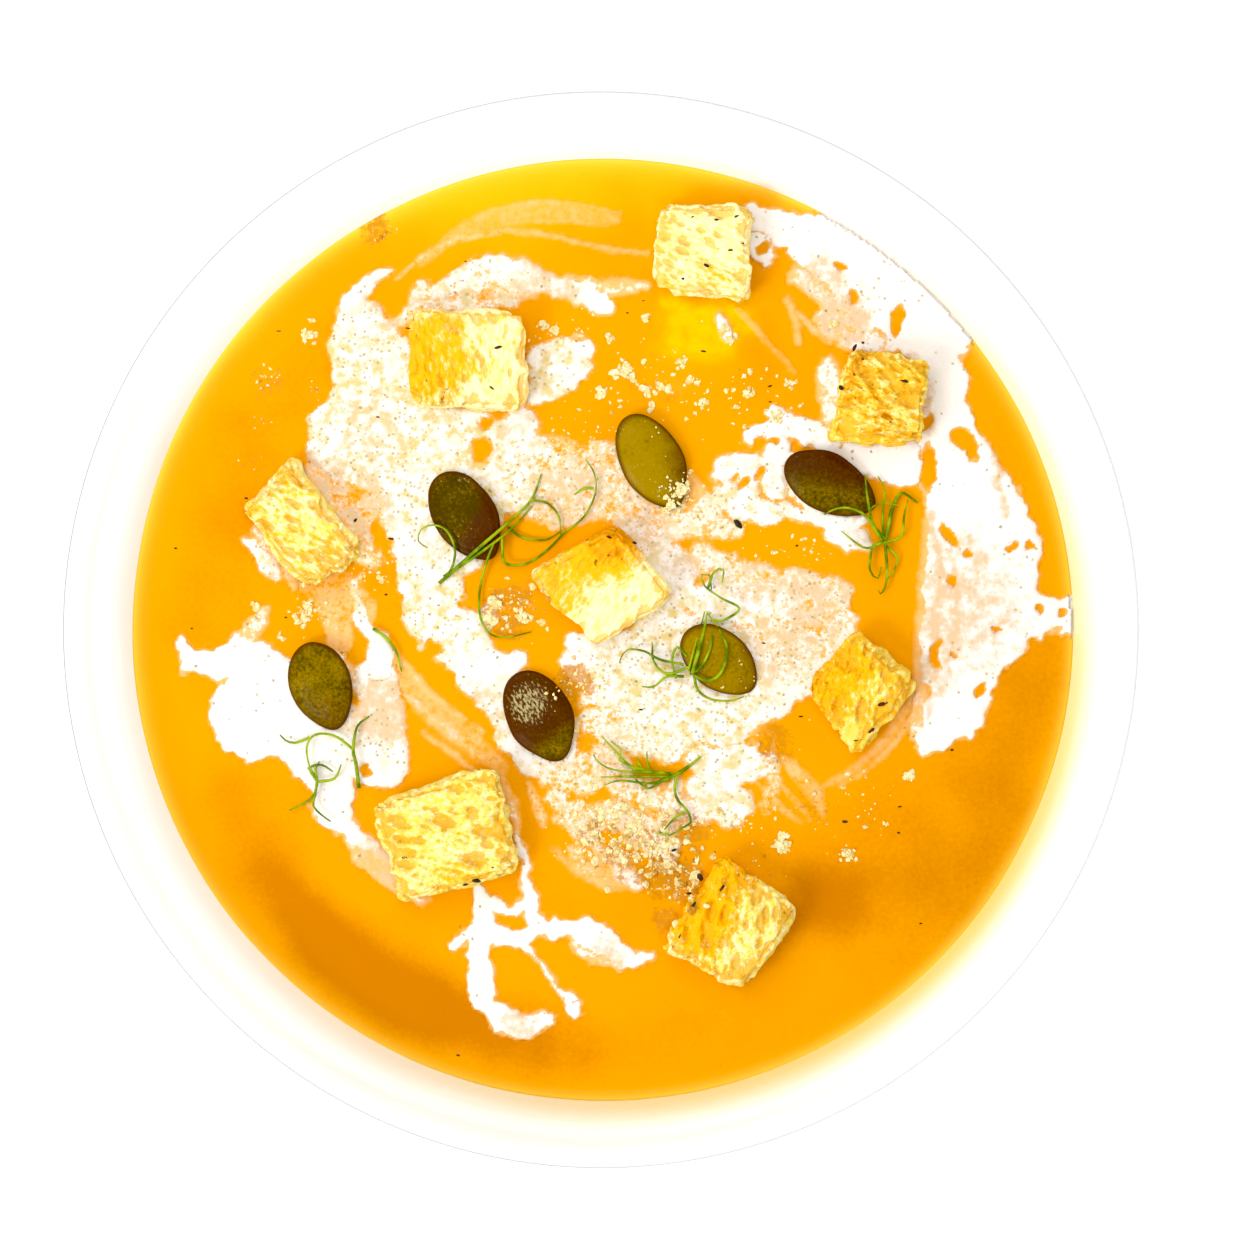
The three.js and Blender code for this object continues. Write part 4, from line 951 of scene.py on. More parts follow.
def grown(mask):
    """A mask of squares with one more square all round."""
    wide = np.pad(mask, 1)
    return (wide[1:-1, 1:-1] | wide[:-2, 1:-1] | wide[2:, 1:-1] | wide[1:-1, :-2] | wide[1:-1, 2:]
            | wide[:-2, :-2] | wide[2:, 2:] | wide[:-2, 2:] | wide[2:, :-2])


def slab_of(squares):
    """Points and faces of the slab over a mask of squares."""
    count = 2 * HALF_SIDE + 1
    j, i = np.nonzero(squares)
    corner = j * count + i
    quads = np.stack([corner, corner + 1, corner + count + 1, corner + count], -1)
    used, faces = np.unique(quads, return_inverse=True)
    faces = faces.reshape(-1, 4)
    edges = np.concatenate([faces[:, [a, (a + 1) % 4]] for a in range(4)])
    keys = edges[:, 0] * len(used) + edges[:, 1]
    mirrored = edges[:, 1] * len(used) + edges[:, 0]
    rim = edges[~np.isin(mirrored, keys)]
    low = len(used)
    sides = np.stack([rim[:, 1], rim[:, 0], rim[:, 0] + low, rim[:, 1] + low], -1)
    return used, np.concatenate([faces, faces[:, ::-1] + low, sides])


cream_squares = cream_map[:-1, :-1] > LEAST_CREAM
cream_squares = grown(cream_squares) & (radius_map[:-1, :-1] < SOUP_EDGE - WALL_GAP)
owner = np.argmax([layer[:-1, :-1] for layer in layers.values()], axis=0)
for number, name in enumerate(layers):
    used, faces = slab_of(cream_squares & (owner == number))
    x, y = map_x.ravel()[used], map_y.ravel()[used]
    height = cream_top.ravel()[used]
    above = np.stack([x, y, height], -1)
    points = np.concatenate([above, np.stack([x, y, np.full(len(x), CREAM_UNDERSIDE)], -1)])
    painted = {key: np.tile(layer.ravel()[used], 2) for key, layer in SHADES.items()}
    patch = mesh_piece(name.replace("cream", "poured_cream"), points, faces, cream_finish, painted)
    hand_over(patch, "cream", name)

# %% [markdown]
# ## The bowl
# A porcelain bowl is turned: one outline, spun about its middle. A lathe is the honest way to make
# it, with the outline drawn as smooth curves and the rolled lip as an arc. Its many steps
# round keep the rim's circle clean. The outline starts and ends on the axis, so it is closed.

# %% Bowl outline
WALL = 4.2  # thickness of the wall
LIP = 1.7  # half the thickness of the rolled lip
BOWL_HEIGHT = 57.5
FLOOR_TOP = 9.5  # inside of the bowl at its middle
INSIDE = [
    (0, FLOOR_TOP), (26, 9.9), (37, 11.5), (47, 15.8), (56, 23.5), (62.5, 31.5), (67.3, 39.5),
    (70.5, 47), (72.1, 50.1), (73.7, 52.3), (76.4, 54.9),
]
FOOT = [(39.2, 5), (38.25, 2.6), (38, 0.7), (37.8, 0.2), (37.3, 0), (33.4, 0), (32.8, 0.25), (32.5, 0.8),
        (32.1, 2.8), (31.4, 3.6), (29, 3.95), (0, 4)]
BOWL_STEPS = 240


def moved_out(line, distance):
    """A line of (radius, height) points moved along its own normal."""
    along = np.gradient(line, axis=0)
    along /= np.linalg.norm(along, axis=1)[:, None]
    return line + np.stack([along[:, 1], -along[:, 0]], -1) * distance


inside = smooth_line(INSIDE, 1.3)
outside = moved_out(inside, WALL)
outside = outside[(inside[:, 0] > 40) & (inside[:, 0] < 74.4)][::-1]
lip_middle = np.array([rim_radius - LIP, BOWL_HEIGHT - LIP])
lip_angles = np.radians(np.linspace(125, -50, 20))
lip = lip_middle + LIP * np.stack([np.cos(lip_angles), np.sin(lip_angles)], -1)
outline = np.vstack([inside, lip, outside, FOOT])
print(f"bowl: an outline of {len(outline)} points")


# %% Bowl solid
def lathe(outline, steps):
    """Points and triangles of an outline spun about +Z; its first and last points lie on the axis."""
    angle = np.arange(steps) * 2 * math.pi / steps
    rings = outline[1:-1]
    x = np.outer(rings[:, 0], np.cos(angle))
    y = np.outer(rings[:, 0], np.sin(angle))
    z = np.repeat(rings[:, 1:], steps, axis=1)
    points = np.vstack([
        np.stack([x, y, z], -1).reshape(-1, 3),
        [[0, 0, outline[0, 1]], [0, 0, outline[-1, 1]]],
    ])
    index = np.arange(len(rings) * steps).reshape(len(rings), steps)
    after = np.roll(index, -1, axis=1)
    a, b, c, d = index[:-1], after[:-1], after[1:], index[1:]
    first, last = len(points) - 2, len(points) - 1
    caps = [
        np.stack([np.full(steps, first), index[0], after[0]], -1),
        np.stack([after[-1], index[-1], np.full(steps, last)], -1),
    ]
    walls = [np.stack([a, d, c], -1).reshape(-1, 3), np.stack([a, c, b], -1).reshape(-1, 3)]
    return points, np.concatenate([*walls, *caps])


GLAZE_SHADE = (0.80, 0.79, 0.775)
GLAZE_WHITE = (0.84, 0.835, 0.82)
BARE_CLAY = (0.66, 0.61, 0.54)
SOUP_REFLECTION = (0.72, 0.59, 0.19)
RIM_SHADE_GREY = (0.05, 0.05, 0.05)


def porcelain_finish():
    """White glaze with a faint waviness, a painted reflection of the soup near it and a painted shade line on
    the rim; the foot ring's face is bare and rougher.
    """
    finish = Finish("glazed porcelain")
    soup_reflection = finish.painted("soup_reflection")
    height = finish.node("ShaderNodeSeparateXYZ", {}, {0: finish.place}, "Z")
    bare = 1 - height.step(0.25 * MM, 0.7 * MM)
    tone = finish.noise(30, 2)
    colour = finish.mix(GLAZE_SHADE, GLAZE_WHITE, tone)
    colour = finish.mix(colour, BARE_CLAY, bare)
    # Painted reflection of the soup's colour on the wall near it.
    colour = finish.mix(colour, SOUP_REFLECTION, soup_reflection)
    # Painted shade: a thin grey line along the rim's outer edge.
    colour = finish.mix(colour, RIM_SHADE_GREY, finish.painted("rim_shade"))
    glaze = finish.relief(finish.noise(9, 2), 0.12, 0.5)
    grit = finish.relief(finish.noise(0.6, 3), 0.1, 0.35, under=glaze)
    return finish.finish(
        Base_Color=colour,
        Roughness=0.12 + tone * 0.05 + bare * 0.6,
        Coat_Weight=0.35 - bare * 0.35,
        Coat_Roughness=0.05,
        Normal=grit,
    )


# %% The bowl's piece
REFLECTION_SIDE = -40  # direction in which the painted reflection of the soup on the wall is strongest, degrees
REFLECTION_REACH = (1.5, 8.5)  # how far above the soup the painted reflection fades out, mm
LIT_SIDE = 185  # direction in which the rim's painted shade line is strongest
bowl_points, bowl_faces = lathe(outline, BOWL_STEPS)
above_soup = np.maximum(bowl_points[:, 2] - SOUP_LEVEL, 0)
is_inside = np.arange(len(bowl_points)) < (len(inside) - 1) * BOWL_STEPS
bowl_x, bowl_y, bowl_z = bowl_points.T
reflection_side = towards(bowl_x, bowl_y, REFLECTION_SIDE)
# Painted reflection of the soup's colour on the inner wall: strongest towards the lower right, fading upward
# from the soup.
soup_reflection = is_inside * (1 - rise(above_soup, *REFLECTION_REACH)) * (0.02 + 0.98 * reflection_side**2.2)
lit_side = towards(bowl_x, bowl_y, LIT_SIDE)
bowl_radius = np.hypot(bowl_x, bowl_y)
# Painted shade: a thin grey line along the outer edge of the rim, strongest on the lit side.
rim_shade = rise(bowl_radius, rim_radius - 0.4 - 0.26 * lit_side, rim_radius - 0.08 - 0.1 * lit_side)
rim_shade *= rise(bowl_z, BOWL_HEIGHT - LIP - 0.1, BOWL_HEIGHT - LIP + 0.3)
rim_shade *= 0.52 + 0.3 * lit_side
painted = {"soup_reflection": soup_reflection, "rim_shade": rim_shade}
bowl = mesh_piece("porcelain_bowl", bowl_points, bowl_faces, porcelain_finish(), painted)
hand_over(bowl, "porcelain", "bowl")

# %% [markdown]
# ## The croutons
# A crouton is a cube of white bread, fried until its edges colour. What one sees is crumb: pores of
# many sizes with thin walls between them, edges that crumbled, and oil that turned parts golden.
# Each one is a finely divided box. Its corners are rounded, its faces are pushed about by noise, and
# a few hundred pores are pressed in, all as real shape, so that it holds up from every side.

# %% Browned, oily and torn places
BREAD_SQUARES = 72  # along each edge of a crouton
WORN_EDGE = 0.8  # radius of the rounded edges
# Browned and oil-soaked places of each crouton: x, y, radius and strength, in the bowl's millimetres.
TOASTED = [
    [],
    [(-28, 45, 3, 0.3), (-25, 36.5, 5, 0.35)],
    [(37.4, 40, 4, 0.5), (46, 38, 4, 0.25), (43, 31, 3, 0.5), (41, 34, 6, 0.3)],
    [(-47, 22, 3, 0.2)],
    [(1.6, 14, 5, 0.6), (-7, 9.6, 4, 0.3)],
    [(33.5, -5, 5, 0.3), (43, -14, 3, 0.2)],
    [(-32, -34, 3, 0.2), (-14.6, -23, 2, 0.35)],
    [(12.6, -38, 2.4, 0.5), (10.8, -45, 2, 0.3), (20, -35.4, 2, 0.3)],
]
GOLDEN = [
    [(17, 50.4, 5, 0.5), (11, 51, 4, 0.3)],
    [(-24.6, 40.6, 7, 0.95)],
    [(41, 34, 10, 0.5), (42, 29, 5, 0.6)],
    [(-49, 19, 7, 0.4), (-42, 10, 5, 0.4)],
    [(0, 12.4, 6.5, 1.0), (-6, 7, 5, 0.8)],
    [(34, -6, 7.5, 0.95), (41, -9, 6, 0.55)],
    [(-33, -21.6, 4, 0.6), (-22, -36, 5, 0.35), (-17, -31, 4, 0.3)],
    [(14.4, -42, 6.6, 1.1), (18, -36.6, 5, 1.0)],
]
# How far each crouton's corners are out of square: (x, y) for (-, -), (+, -), (+, +) and (-, +), in the
# bowl's millimetres.
TORN = [
    [(0.6, 1.6), (0, 0.5), (0.2, -0.8), (1.1, -0.9)],
    [(2.0, 0.5), (-0.4, 0.8), (-0.8, -0.3), (0.2, -0.4)],
    [(-0.6, 0.2), (0.6, 1.4), (-0.4, -1.1), (1.4, 0)],
    [(1.6, -1.5), (2.0, 0.9), (-0.4, 0.2), (-0.5, -0.9)],
    [(-0.6, 1.3), (-0.2, -1.4), (0.9, -1.5), (0, 1.6)],
    [(0.3, 0.1), (-1.3, 1.2), (-1.0, -0.6), (0.9, 0.4)],
    [(1.2, 0.3), (0.3, 0.9), (1.4, -0.9), (0.9, -2.0)],
    [(0.6, 1.7), (-0.5, -0.5), (0.9, 0.1), (0.9, -1.2)],
]
print(f"croutons: {sum(map(len, TOASTED + GOLDEN))} browned and oily places")

# %% What the crumb is like
PORES = 380  # pressed into each crouton
CHIPS = 160  # broken out of its edges
PORE_SIZE = [0.8, 0.6, 1.0, 0.85, 0.5, 0.95, 1.12, 1.1]  # radius of a crouton's larger pores, mm
OVAL = 2.1  # how much longer than wide a pore is
DEEPEST = 1.0  # no pore is deeper, mm
CRUMB_TURN = [-22, 92, -23, 20, 20, 30, -33, 25]  # which way a crouton's pores run, from its own X
CRUMB_STRETCH = [1.7, 1.9, 1.5, 1.6, 2.0, 1.35, 1.3, 1.15]
OPENNESS = [0.8, 0.75, 1.2, 1.0, 0.6, 1.1, 1.15, 1.1]  # how open each crouton's crumb is
YELLOWED = [0.4, 0.38, 0.84, 0.55, 0.35, 0.84, 0.64, 0.6]  # how yellow each crouton's crumb is
print(f"crumb: {PORES} pores and {CHIPS} chips for each crouton")


# %% The box that a crouton starts from
def box_grid(count):
    """Points of a cube's surface from -1 to 1, with shared edges, and its faces."""
    ticks = np.linspace(-1, 1, count + 1)
    u, v = np.meshgrid(ticks, ticks, indexing="ij")
    one = np.ones_like(u)
    index = np.arange(u.size).reshape(u.shape)
    quads = np.stack([index[:-1, :-1], index[1:, :-1], index[1:, 1:], index[:-1, 1:]], -1).reshape(-1, 4)
    sides = [(u, v, one), (v, u, -one), (one, u, v), (-one, v, u), (v, one, u), (u, -one, v)]
    points = np.concatenate([np.stack(side, -1).reshape(-1, 3) for side in sides])
    faces = np.concatenate([quads + k * u.size for k in range(6)])
    keys, shared = np.unique(np.round(points * count).astype(int), axis=0, return_inverse=True)
    return keys / count, shared.reshape(-1)[faces]


def place_crouton(points, crouton):
    """From a box about the origin to the crouton's place: the middle of its top is at."""
    moved = (points - [0, 0, crouton["size"][2] / 2]) @ rotation(crouton)
    return moved + [*crouton["at"], SOUP_LEVEL + crouton["rise"]]


print(f"box: {len(box_grid(BREAD_SQUARES)[0])} points")


# %% Pores and chips
def pore_seats(number, half):
    """Middles and radii of pores on the faces and of chips on the edges."""
    rng = np.random.default_rng(100 + number)
    seats = rng.uniform(-1, 1, (PORES + CHIPS, 3))
    rows = np.arange(PORES + CHIPS)
    across = rng.permuted(np.tile([0, 1, 2], (PORES + CHIPS, 1)), axis=1)
    seats[rows, across[:, 0]] = np.sign(seats[rows, across[:, 0]])
    chips, second = rows[PORES:], across[PORES:, 1]
    seats[chips, second] = np.sign(seats[chips, second])
    radii = PORE_SIZE[number] * (0.3 + 0.8 * rng.random(PORES + CHIPS) ** 2.6)
    radii[PORES:] = rng.uniform(0.35, 1.0, CHIPS) + 0.9 * rng.random(CHIPS) ** 4
    sink = rng.uniform(-0.2, 0.75, PORES + CHIPS) * radii
    return seats * (half - sink[:, None]), radii


def pore_depth(base, number, half):
    """How deep the pores reach in at each point, and how near each point is to a pore's bottom."""
    turn = math.radians(CRUMB_TURN[number])
    grain = np.array([math.cos(turn), math.sin(turn), 0])
    depth, bottom = np.zeros(len(base)), np.zeros(len(base))
    order = np.argsort(base[:, 0])
    ranked = base[order, 0]
    for seat, radius in zip(*pore_seats(number, half)):
        near = order[slice(*np.searchsorted(ranked, (seat[0] - OVAL * radius, seat[0] + OVAL * radius)))]
        away = (base[near] - seat) / radius
        longer = (1 - 1 / OVAL**2) * (away @ grain) ** 2
        share = np.sqrt(np.maximum(1 - np.sum(away**2, axis=1) + longer, 0))
        depth[near] = np.maximum(depth[near], radius * share)
        bottom[near] = np.maximum(bottom[near], share * min(radius / 0.5, 1))
    return np.minimum(depth, DEEPEST), bottom


print(f"pores: the largest {max(PORE_SIZE) * 1.1:.1f} mm in radius")


# %% Spots and torn corners
def blobs(points, spots):
    """Soft spots painted on points, from 0 to 1."""
    total = np.zeros(len(points))
    for x, y, size, strength in spots:
        away = np.hypot(points[:, 0] - x, points[:, 1] - y)
        total = np.maximum(total, strength * rise(1.5 * size - away, 0, size))
    return total


def torn_corners(share, number, crouton):
    """How far the torn corners move each point, along the crouton's own axes."""
    angle = math.radians(crouton["turn"])
    own = np.array([[math.cos(angle), -math.sin(angle)], [math.sin(angle), math.cos(angle)]])
    move = np.zeros(share.shape)
    for (side_x, side_y), shift in zip([(-1, -1), (1, -1), (1, 1), (-1, 1)], TORN[number]):
        near = (1 + side_x * share[:, 0]) * (1 + side_y * share[:, 1]) / 4
        move[:, :2] += near[:, None] * (np.array(shift) @ own)
    return move


print(f"corners: four for each of {len(TORN)} croutons")


# %% Crouton shape
SWELLS = [(6.5, 0.7, 200), (2.6, 0.42, 220)]  # size and reach of the faces' swells, mm, and a seed
FIBRE = 0.26  # reach of the crumb's longish lumps
GRIT = 0.07  # and of the finest ones
WORN_CORNER = 1.2  # how far the corners have crumbled away, mm
WORN_SIDE = 0.5  # and the edges between them


def crouton_shape(number, crouton):
    """Points, faces and painted values of a crouton in its place."""
    half = np.array(crouton["size"]) / 2
    points, faces = box_grid(BREAD_SQUARES)
    points = points * half
    core = np.clip(points, WORN_EDGE - half, half - WORN_EDGE)
    outward = points - core
    outward /= np.linalg.norm(outward, axis=1)[:, None]
    base = core + outward * WORN_EDGE
    axes = base[:, 0], base[:, 1], base[:, 2]
    openness = OPENNESS[number]
    turn = math.radians(CRUMB_TURN[number])
    along = base[:, 0] * math.cos(turn) + base[:, 1] * math.sin(turn)
    across = base[:, 1] * math.cos(turn) - base[:, 0] * math.sin(turn)
    push = sum(reach * cloud(size, seed + number, *axes) for size, reach, seed in SWELLS)
    push += openness * FIBRE * cloud(1.0, 240 + number, along / OVAL, across, base[:, 2])
    push += openness * GRIT * cloud(0.6, 260 + number, *axes)
    ranked = np.sort(np.abs(base) / half, axis=1)
    worn = WORN_CORNER * rise(ranked[:, 0], 0.7, 1) + WORN_SIDE * rise(ranked[:, 1], 0.88, 1)
    worn = worn * np.maximum(0.5 + 0.8 * cloud(4, 290 + number, *axes), 0)
    depth, bottom = pore_depth(base, number, half)
    points = base + outward * (push + 0.1 - worn - depth * min(openness, 1))[:, None]
    placed = place_crouton(points + torn_corners(base / half, number, crouton), crouton)
    painted = {
        "pore": bottom,
        "toast": blobs(placed, TOASTED[number]),
        "gold": blobs(placed, GOLDEN[number]),
        "wet": rise(SOUP_LEVEL + 2.4 - placed[:, 2], 0, 2),
        "yellowed": np.full(len(base), YELLOWED[number]),
        "openness": np.full(len(base), openness),
        "along": along / CRUMB_STRETCH[number],
        "across": across,
        "up": base[:, 2],
    }
    return placed, faces, painted


print(f"crouton: {len(SWELLS)} sizes of swells, corners worn by {WORN_CORNER} mm")

# %% Finish of the bread
CRUMB_PALE = (0.86, 0.77, 0.41)
CRUMB_YELLOW = (0.74, 0.56, 0.08)
OIL_GOLD = (0.82, 0.39, 0.006)
PORE_SHADE = (0.72, 0.36, 0.018)
TOAST_BROWN = (0.50, 0.15, 0.005)
BURNT = (0.10, 0.018, 0.006)


def bread_finish():
    finish = Finish("fried bread")
    pore, toast = finish.painted("pore"), finish.painted("toast")
    gold, wet = finish.painted("gold"), finish.painted("wet")
    yellowed, openness = finish.painted("yellowed"), finish.painted("openness")
    patch = finish.noise(4, 3, roughness=0.6) - 0.5
    own = finish.vector(finish.painted("along"), finish.painted("across"), finish.painted("up"))
    grain = {"Vector": own, "Scale": 1.45, "Detail": 4.0, "Roughness": 0.64}
    crumb = (finish.node("ShaderNodeTexNoise", {}, grain) - 0.5) * (openness * 0.7 + 0.3)
    fibre = finish.node("ShaderNodeTexNoise", {}, {"Vector": own, "Scale": 2.4, "Detail": 3.0}) - 0.5
    tint = (yellowed + patch * 1.0 + crumb * 2.2 + wet * 0.5).step(0.1, 0.9)
    colour = finish.mix(CRUMB_PALE, CRUMB_YELLOW, tint)
    oil = (gold + patch * 1.1 + crumb * 1.9).step(0.25, 0.9)
    colour = finish.mix(colour, OIL_GOLD, oil)
    cell = {"Vector": own, "Scale": 0.95}
    pits = (finish.node("ShaderNodeTexVoronoi", {}, cell, "Distance") + crumb * 0.8).step(0.16, 0.4)
    lot = finish.lot(finish.node("ShaderNodeTexVoronoi", {}, cell, "Color"))
    pits = (1 - pits) * (openness * 0.42 - lot).step(0.0, 0.06)
    # Pores and small pits are coloured darker orange: painted shade in the crumb's hollows.
    hollow_shade = (pore * 1.5 + crumb * 0.95 + fibre * 0.4 + pits * 0.95).step(0.66, 0.88)
    colour = finish.mix(colour, PORE_SHADE, hollow_shade * (0.4 + yellowed * 0.6 - gold * 0.2))
    browned = (toast * 1.2 + patch * 1.2 + crumb * 2.4).step(0.35, 1.15)
    colour = finish.mix(colour, TOAST_BROWN, browned * 0.8)
    specks = finish.noise(1.2, 2).step(0.67, 0.7) * (toast + 0.1).step(0.1, 0.7)
    colour = finish.mix(colour, BURNT, specks)
    coarse = finish.relief(crumb - pits * 0.4, 0.4, 0.8)
    fine = finish.relief(finish.noise(0.3, 2), 0.08, 0.6, under=coarse)
    return finish.finish(
        Base_Color=colour,
        Roughness=0.88 - gold * 0.25 - wet * 0.3,
        Specular_IOR_Level=0.12,
        Normal=fine,
    )


# %% The eight croutons
bread = bread_finish()
bread_points = []
for number, crouton in enumerate(CROUTONS):
    points, faces, painted = crouton_shape(number, crouton)
    bread_points.append(points)
    piece = mesh_piece(f"fried_crouton_{number + 1}", points, faces, bread, painted)
    hand_over(piece, "bread", f"crouton_{number + 1}")

# %% [markdown]
# ## The pumpkin seeds
# A hulled pumpkin seed is a flat lens, egg-shaped in plan, with a thin raised rim round its edge and
# a skin of dark green. A squashed ball with a groove just inside its edge gives that shape. No two
# are the same green, so each has its own share of green and olive painted on its points, and a
# maroon side that is partly the skin's own colour and partly painted shade.

# %% Seed shapes
# Share of light olive, and the maroon side, partly the skin's own colour and partly painted shade: direction
# in degrees, strength, and reach past the middle.
SEED_TONES = [
    (0.12, -20, 1.0, 2), (0.82, 20, 0.6, 1), (0.3, 80, 1.0, 3), (0.42, -60, 0.4, 2), (0.3, 125, 1.4, 6),
    (0.7, 0, 0.4, 1),
]
SEED_STEPS = (72, 36)
SEED_TAPER = 0.28  # how much narrower the pointed end is
SEED_FULLNESS = 0.8  # 1 for a ball, less for a fuller lens
SEED_GROOVE = 0.16  # depth of the groove inside the rim, in half thicknesses
# Where a seed's skin is scuffed: seed, x, y, radius and strength.
SCUFFS = [(4, -10.8, -11, 3.3, 1.0), (1, 10, 21, 2.4, 0.5), (5, 17, -2, 2, 0.4), (0, -20.5, 22.6, 1.2, 0.5)]


def seed_shape(number, seed):
    """A ball, narrowed towards one end, flattened, grooved near its edge and placed."""
    around, rings = SEED_STEPS
    lens = np.linspace(0, math.pi, rings + 1)
    outline = np.stack([np.sin(lens), np.cos(lens)], -1)
    points, faces = lathe(outline, around)
    x, y, z = points.T
    share = np.hypot(x, y)
    narrow = 1 - SEED_TAPER * np.maximum(x, 0) ** 2 + 0.045 * cloud(0.55, 300 + number, x, y)
    flat = np.sign(z) * np.abs(z) ** SEED_FULLNESS
    groove = SEED_GROOVE * np.exp(-((share - 0.87) / 0.05) ** 2) * np.abs(np.sign(flat))
    flat = flat * (1 - groove) + 0.05 * cloud(0.5, 310 + number, x, y)
    half = np.array([*seed["size"], SEED_THICKNESS]) / 2
    points = np.stack([x, y * narrow, flat], -1) * half
    placed = points @ rotation(seed) + [*seed["at"], SOUP_LEVEL + SEED_RISE]
    olive, heading, strength, reach = SEED_TONES[number]
    side = math.radians(heading)
    away_x, away_y = placed[:, 0] - seed["at"][0], placed[:, 1] - seed["at"][1]
    to_side = away_x * math.cos(side) + away_y * math.sin(side)
    scuffs = [row[1:] for row in SCUFFS if row[0] == number]
    painted = {
        "scuff": blobs(placed, scuffs) * (placed[:, 2] > SOUP_LEVEL + SEED_RISE),
        "length": points[:, 0],
        "olive": np.full(len(points), olive),
        # Maroon side: the skin's own colour and painted shade.
        "maroon_and_shade": strength * rise(to_side, -reach, 6 - reach),
        "rim": rise(share, 0.84, 0.98),
        "streak": points[:, 1] / half[1],
    }
    return placed, faces, painted


print(f"seeds: {SEED_STEPS[0]} steps round, {SEED_STEPS[1]} from top to bottom")

# %% Finish of the seeds
SKIN_DARK = (0.050, 0.030, 0.0004)
SKIN_OLIVE = (0.27, 0.165, 0.002)
SKIN_LINE = (0.26, 0.20, 0.01)
SKIN_MAROON_AND_SHADE = (0.062, 0.013, 0.004)
SKIN_GLINT = (0.42, 0.33, 0.1)
SKIN_RIM = (0.07, 0.022, 0.004)
SCUFFED = (0.40, 0.335, 0.15)


def seed_finish():
    finish = Finish("pumpkin seed skin")
    olive, maroon_and_shade = finish.painted("olive"), finish.painted("maroon_and_shade")
    rim, streak = finish.painted("rim"), finish.painted("streak")
    patch = finish.noise(3.2, 3) - 0.5
    fleck = finish.noise(0.5, 3, roughness=0.65) - 0.5
    along_skin = {"W": streak * 14, "Scale": 1.0, "Detail": 2.0}
    lines = finish.node("ShaderNodeTexNoise", {"noise_dimensions": "1D"}, along_skin)
    green = (olive * 1.1 + patch * 0.8 + fleck * 1.3).step(0, 1)
    colour = finish.mix(SKIN_DARK, SKIN_OLIVE, green)
    colour = finish.mix(colour, SKIN_LINE, (lines - 0.45).step(0, 0.3) * 0.05)
    # Maroon on one side of each seed: partly the skin's own colour and partly painted shade on its side away
    # from the light.
    colour = finish.mix(colour, SKIN_MAROON_AND_SHADE, (maroon_and_shade + patch * 1.2).step(0.1, 0.9) * 0.8)
    glints = 1 - (finish.cells(0.55) + fleck * 0.8).step(0.1, 0.26)
    glints = glints * (fleck + patch * 1.5).step(0.0, 0.2)
    colour = finish.mix(colour, SKIN_GLINT, glints * 0.55)
    colour = finish.mix(colour, SKIN_RIM, (rim + fleck * 0.6) * 0.75)
    own = finish.vector(finish.painted("length") * 1.3, streak * 15)
    torn = finish.node("ShaderNodeTexNoise", {}, {"Vector": own, "Scale": 1.0, "Detail": 3.0}) - 0.5
    scuffed = (finish.painted("scuff") * 0.5 + torn * 1.8).step(0.36, 0.66)
    colour = finish.mix(colour, SCUFFED, scuffed * 0.85)
    skin = finish.relief(finish.noise(0.7, 3), 0.12, 0.6)
    return finish.finish(
        Base_Color=colour,
        Roughness=0.34 + fleck * 0.2,
        Specular_IOR_Level=0.06,
        Normal=skin,
    )


# %% The six seeds
seed_skin = seed_finish()
for number, seed in enumerate(SEEDS):
    points, faces, painted = seed_shape(number, seed)
    piece = mesh_piece(f"hulled_seed_{number + 1}", points, faces, seed_skin, painted)
    hand_over(piece, "pumpkin_seed", f"pumpkin_seed_{number + 1}")

# %% [markdown]
# ## What lies on top
# Dill, crumbs and flecks lie on whatever is there: soup, cream, a seed or a crouton. One more layer
# of the map holds the height of the topmost thing, so that each can be laid on it.

# %% Height of the topmost thing
top_map = np.where(cream_map > 0.03, cream_top, soup_top)
for seed, share in zip(SEEDS, seed_shares):
    dome = SOUP_LEVEL + SEED_RISE + SEED_THICKNESS / 2 * np.maximum(1 - share**2, 0) ** 0.4
    top_map = np.where(share < 1, np.maximum(top_map, dome), top_map)
for crouton in CROUTONS:
    u, v = turned_place(crouton)
    lean_x, lean_y = (math.tan(math.radians(angle)) for angle in crouton["lean"])
    lid = SOUP_LEVEL + crouton["rise"] + v * lean_x - u * lean_y - 1
    top_map = np.where(outside_box(crouton) <= 0, np.maximum(top_map, lid), top_map)
for points in bread_points:
    columns, rows = (np.rint(points[:, axis] / CELL).astype(int) + HALF_SIDE for axis in (0, 1))
    np.maximum.at(top_map, (rows, columns), points[:, 2])
print(f"top: up to {top_map.max():.1f} mm")

# %% [markdown]
# ## The dill
# Dill leaves are threads that branch from a stem, curl, and lie across each other. A thread is a
# tube that follows a line and tapers to its end, which is just what the Curve to Mesh node makes.
# The lines go in as bare edges that carry their thickness, and one tree turns them into tubes.

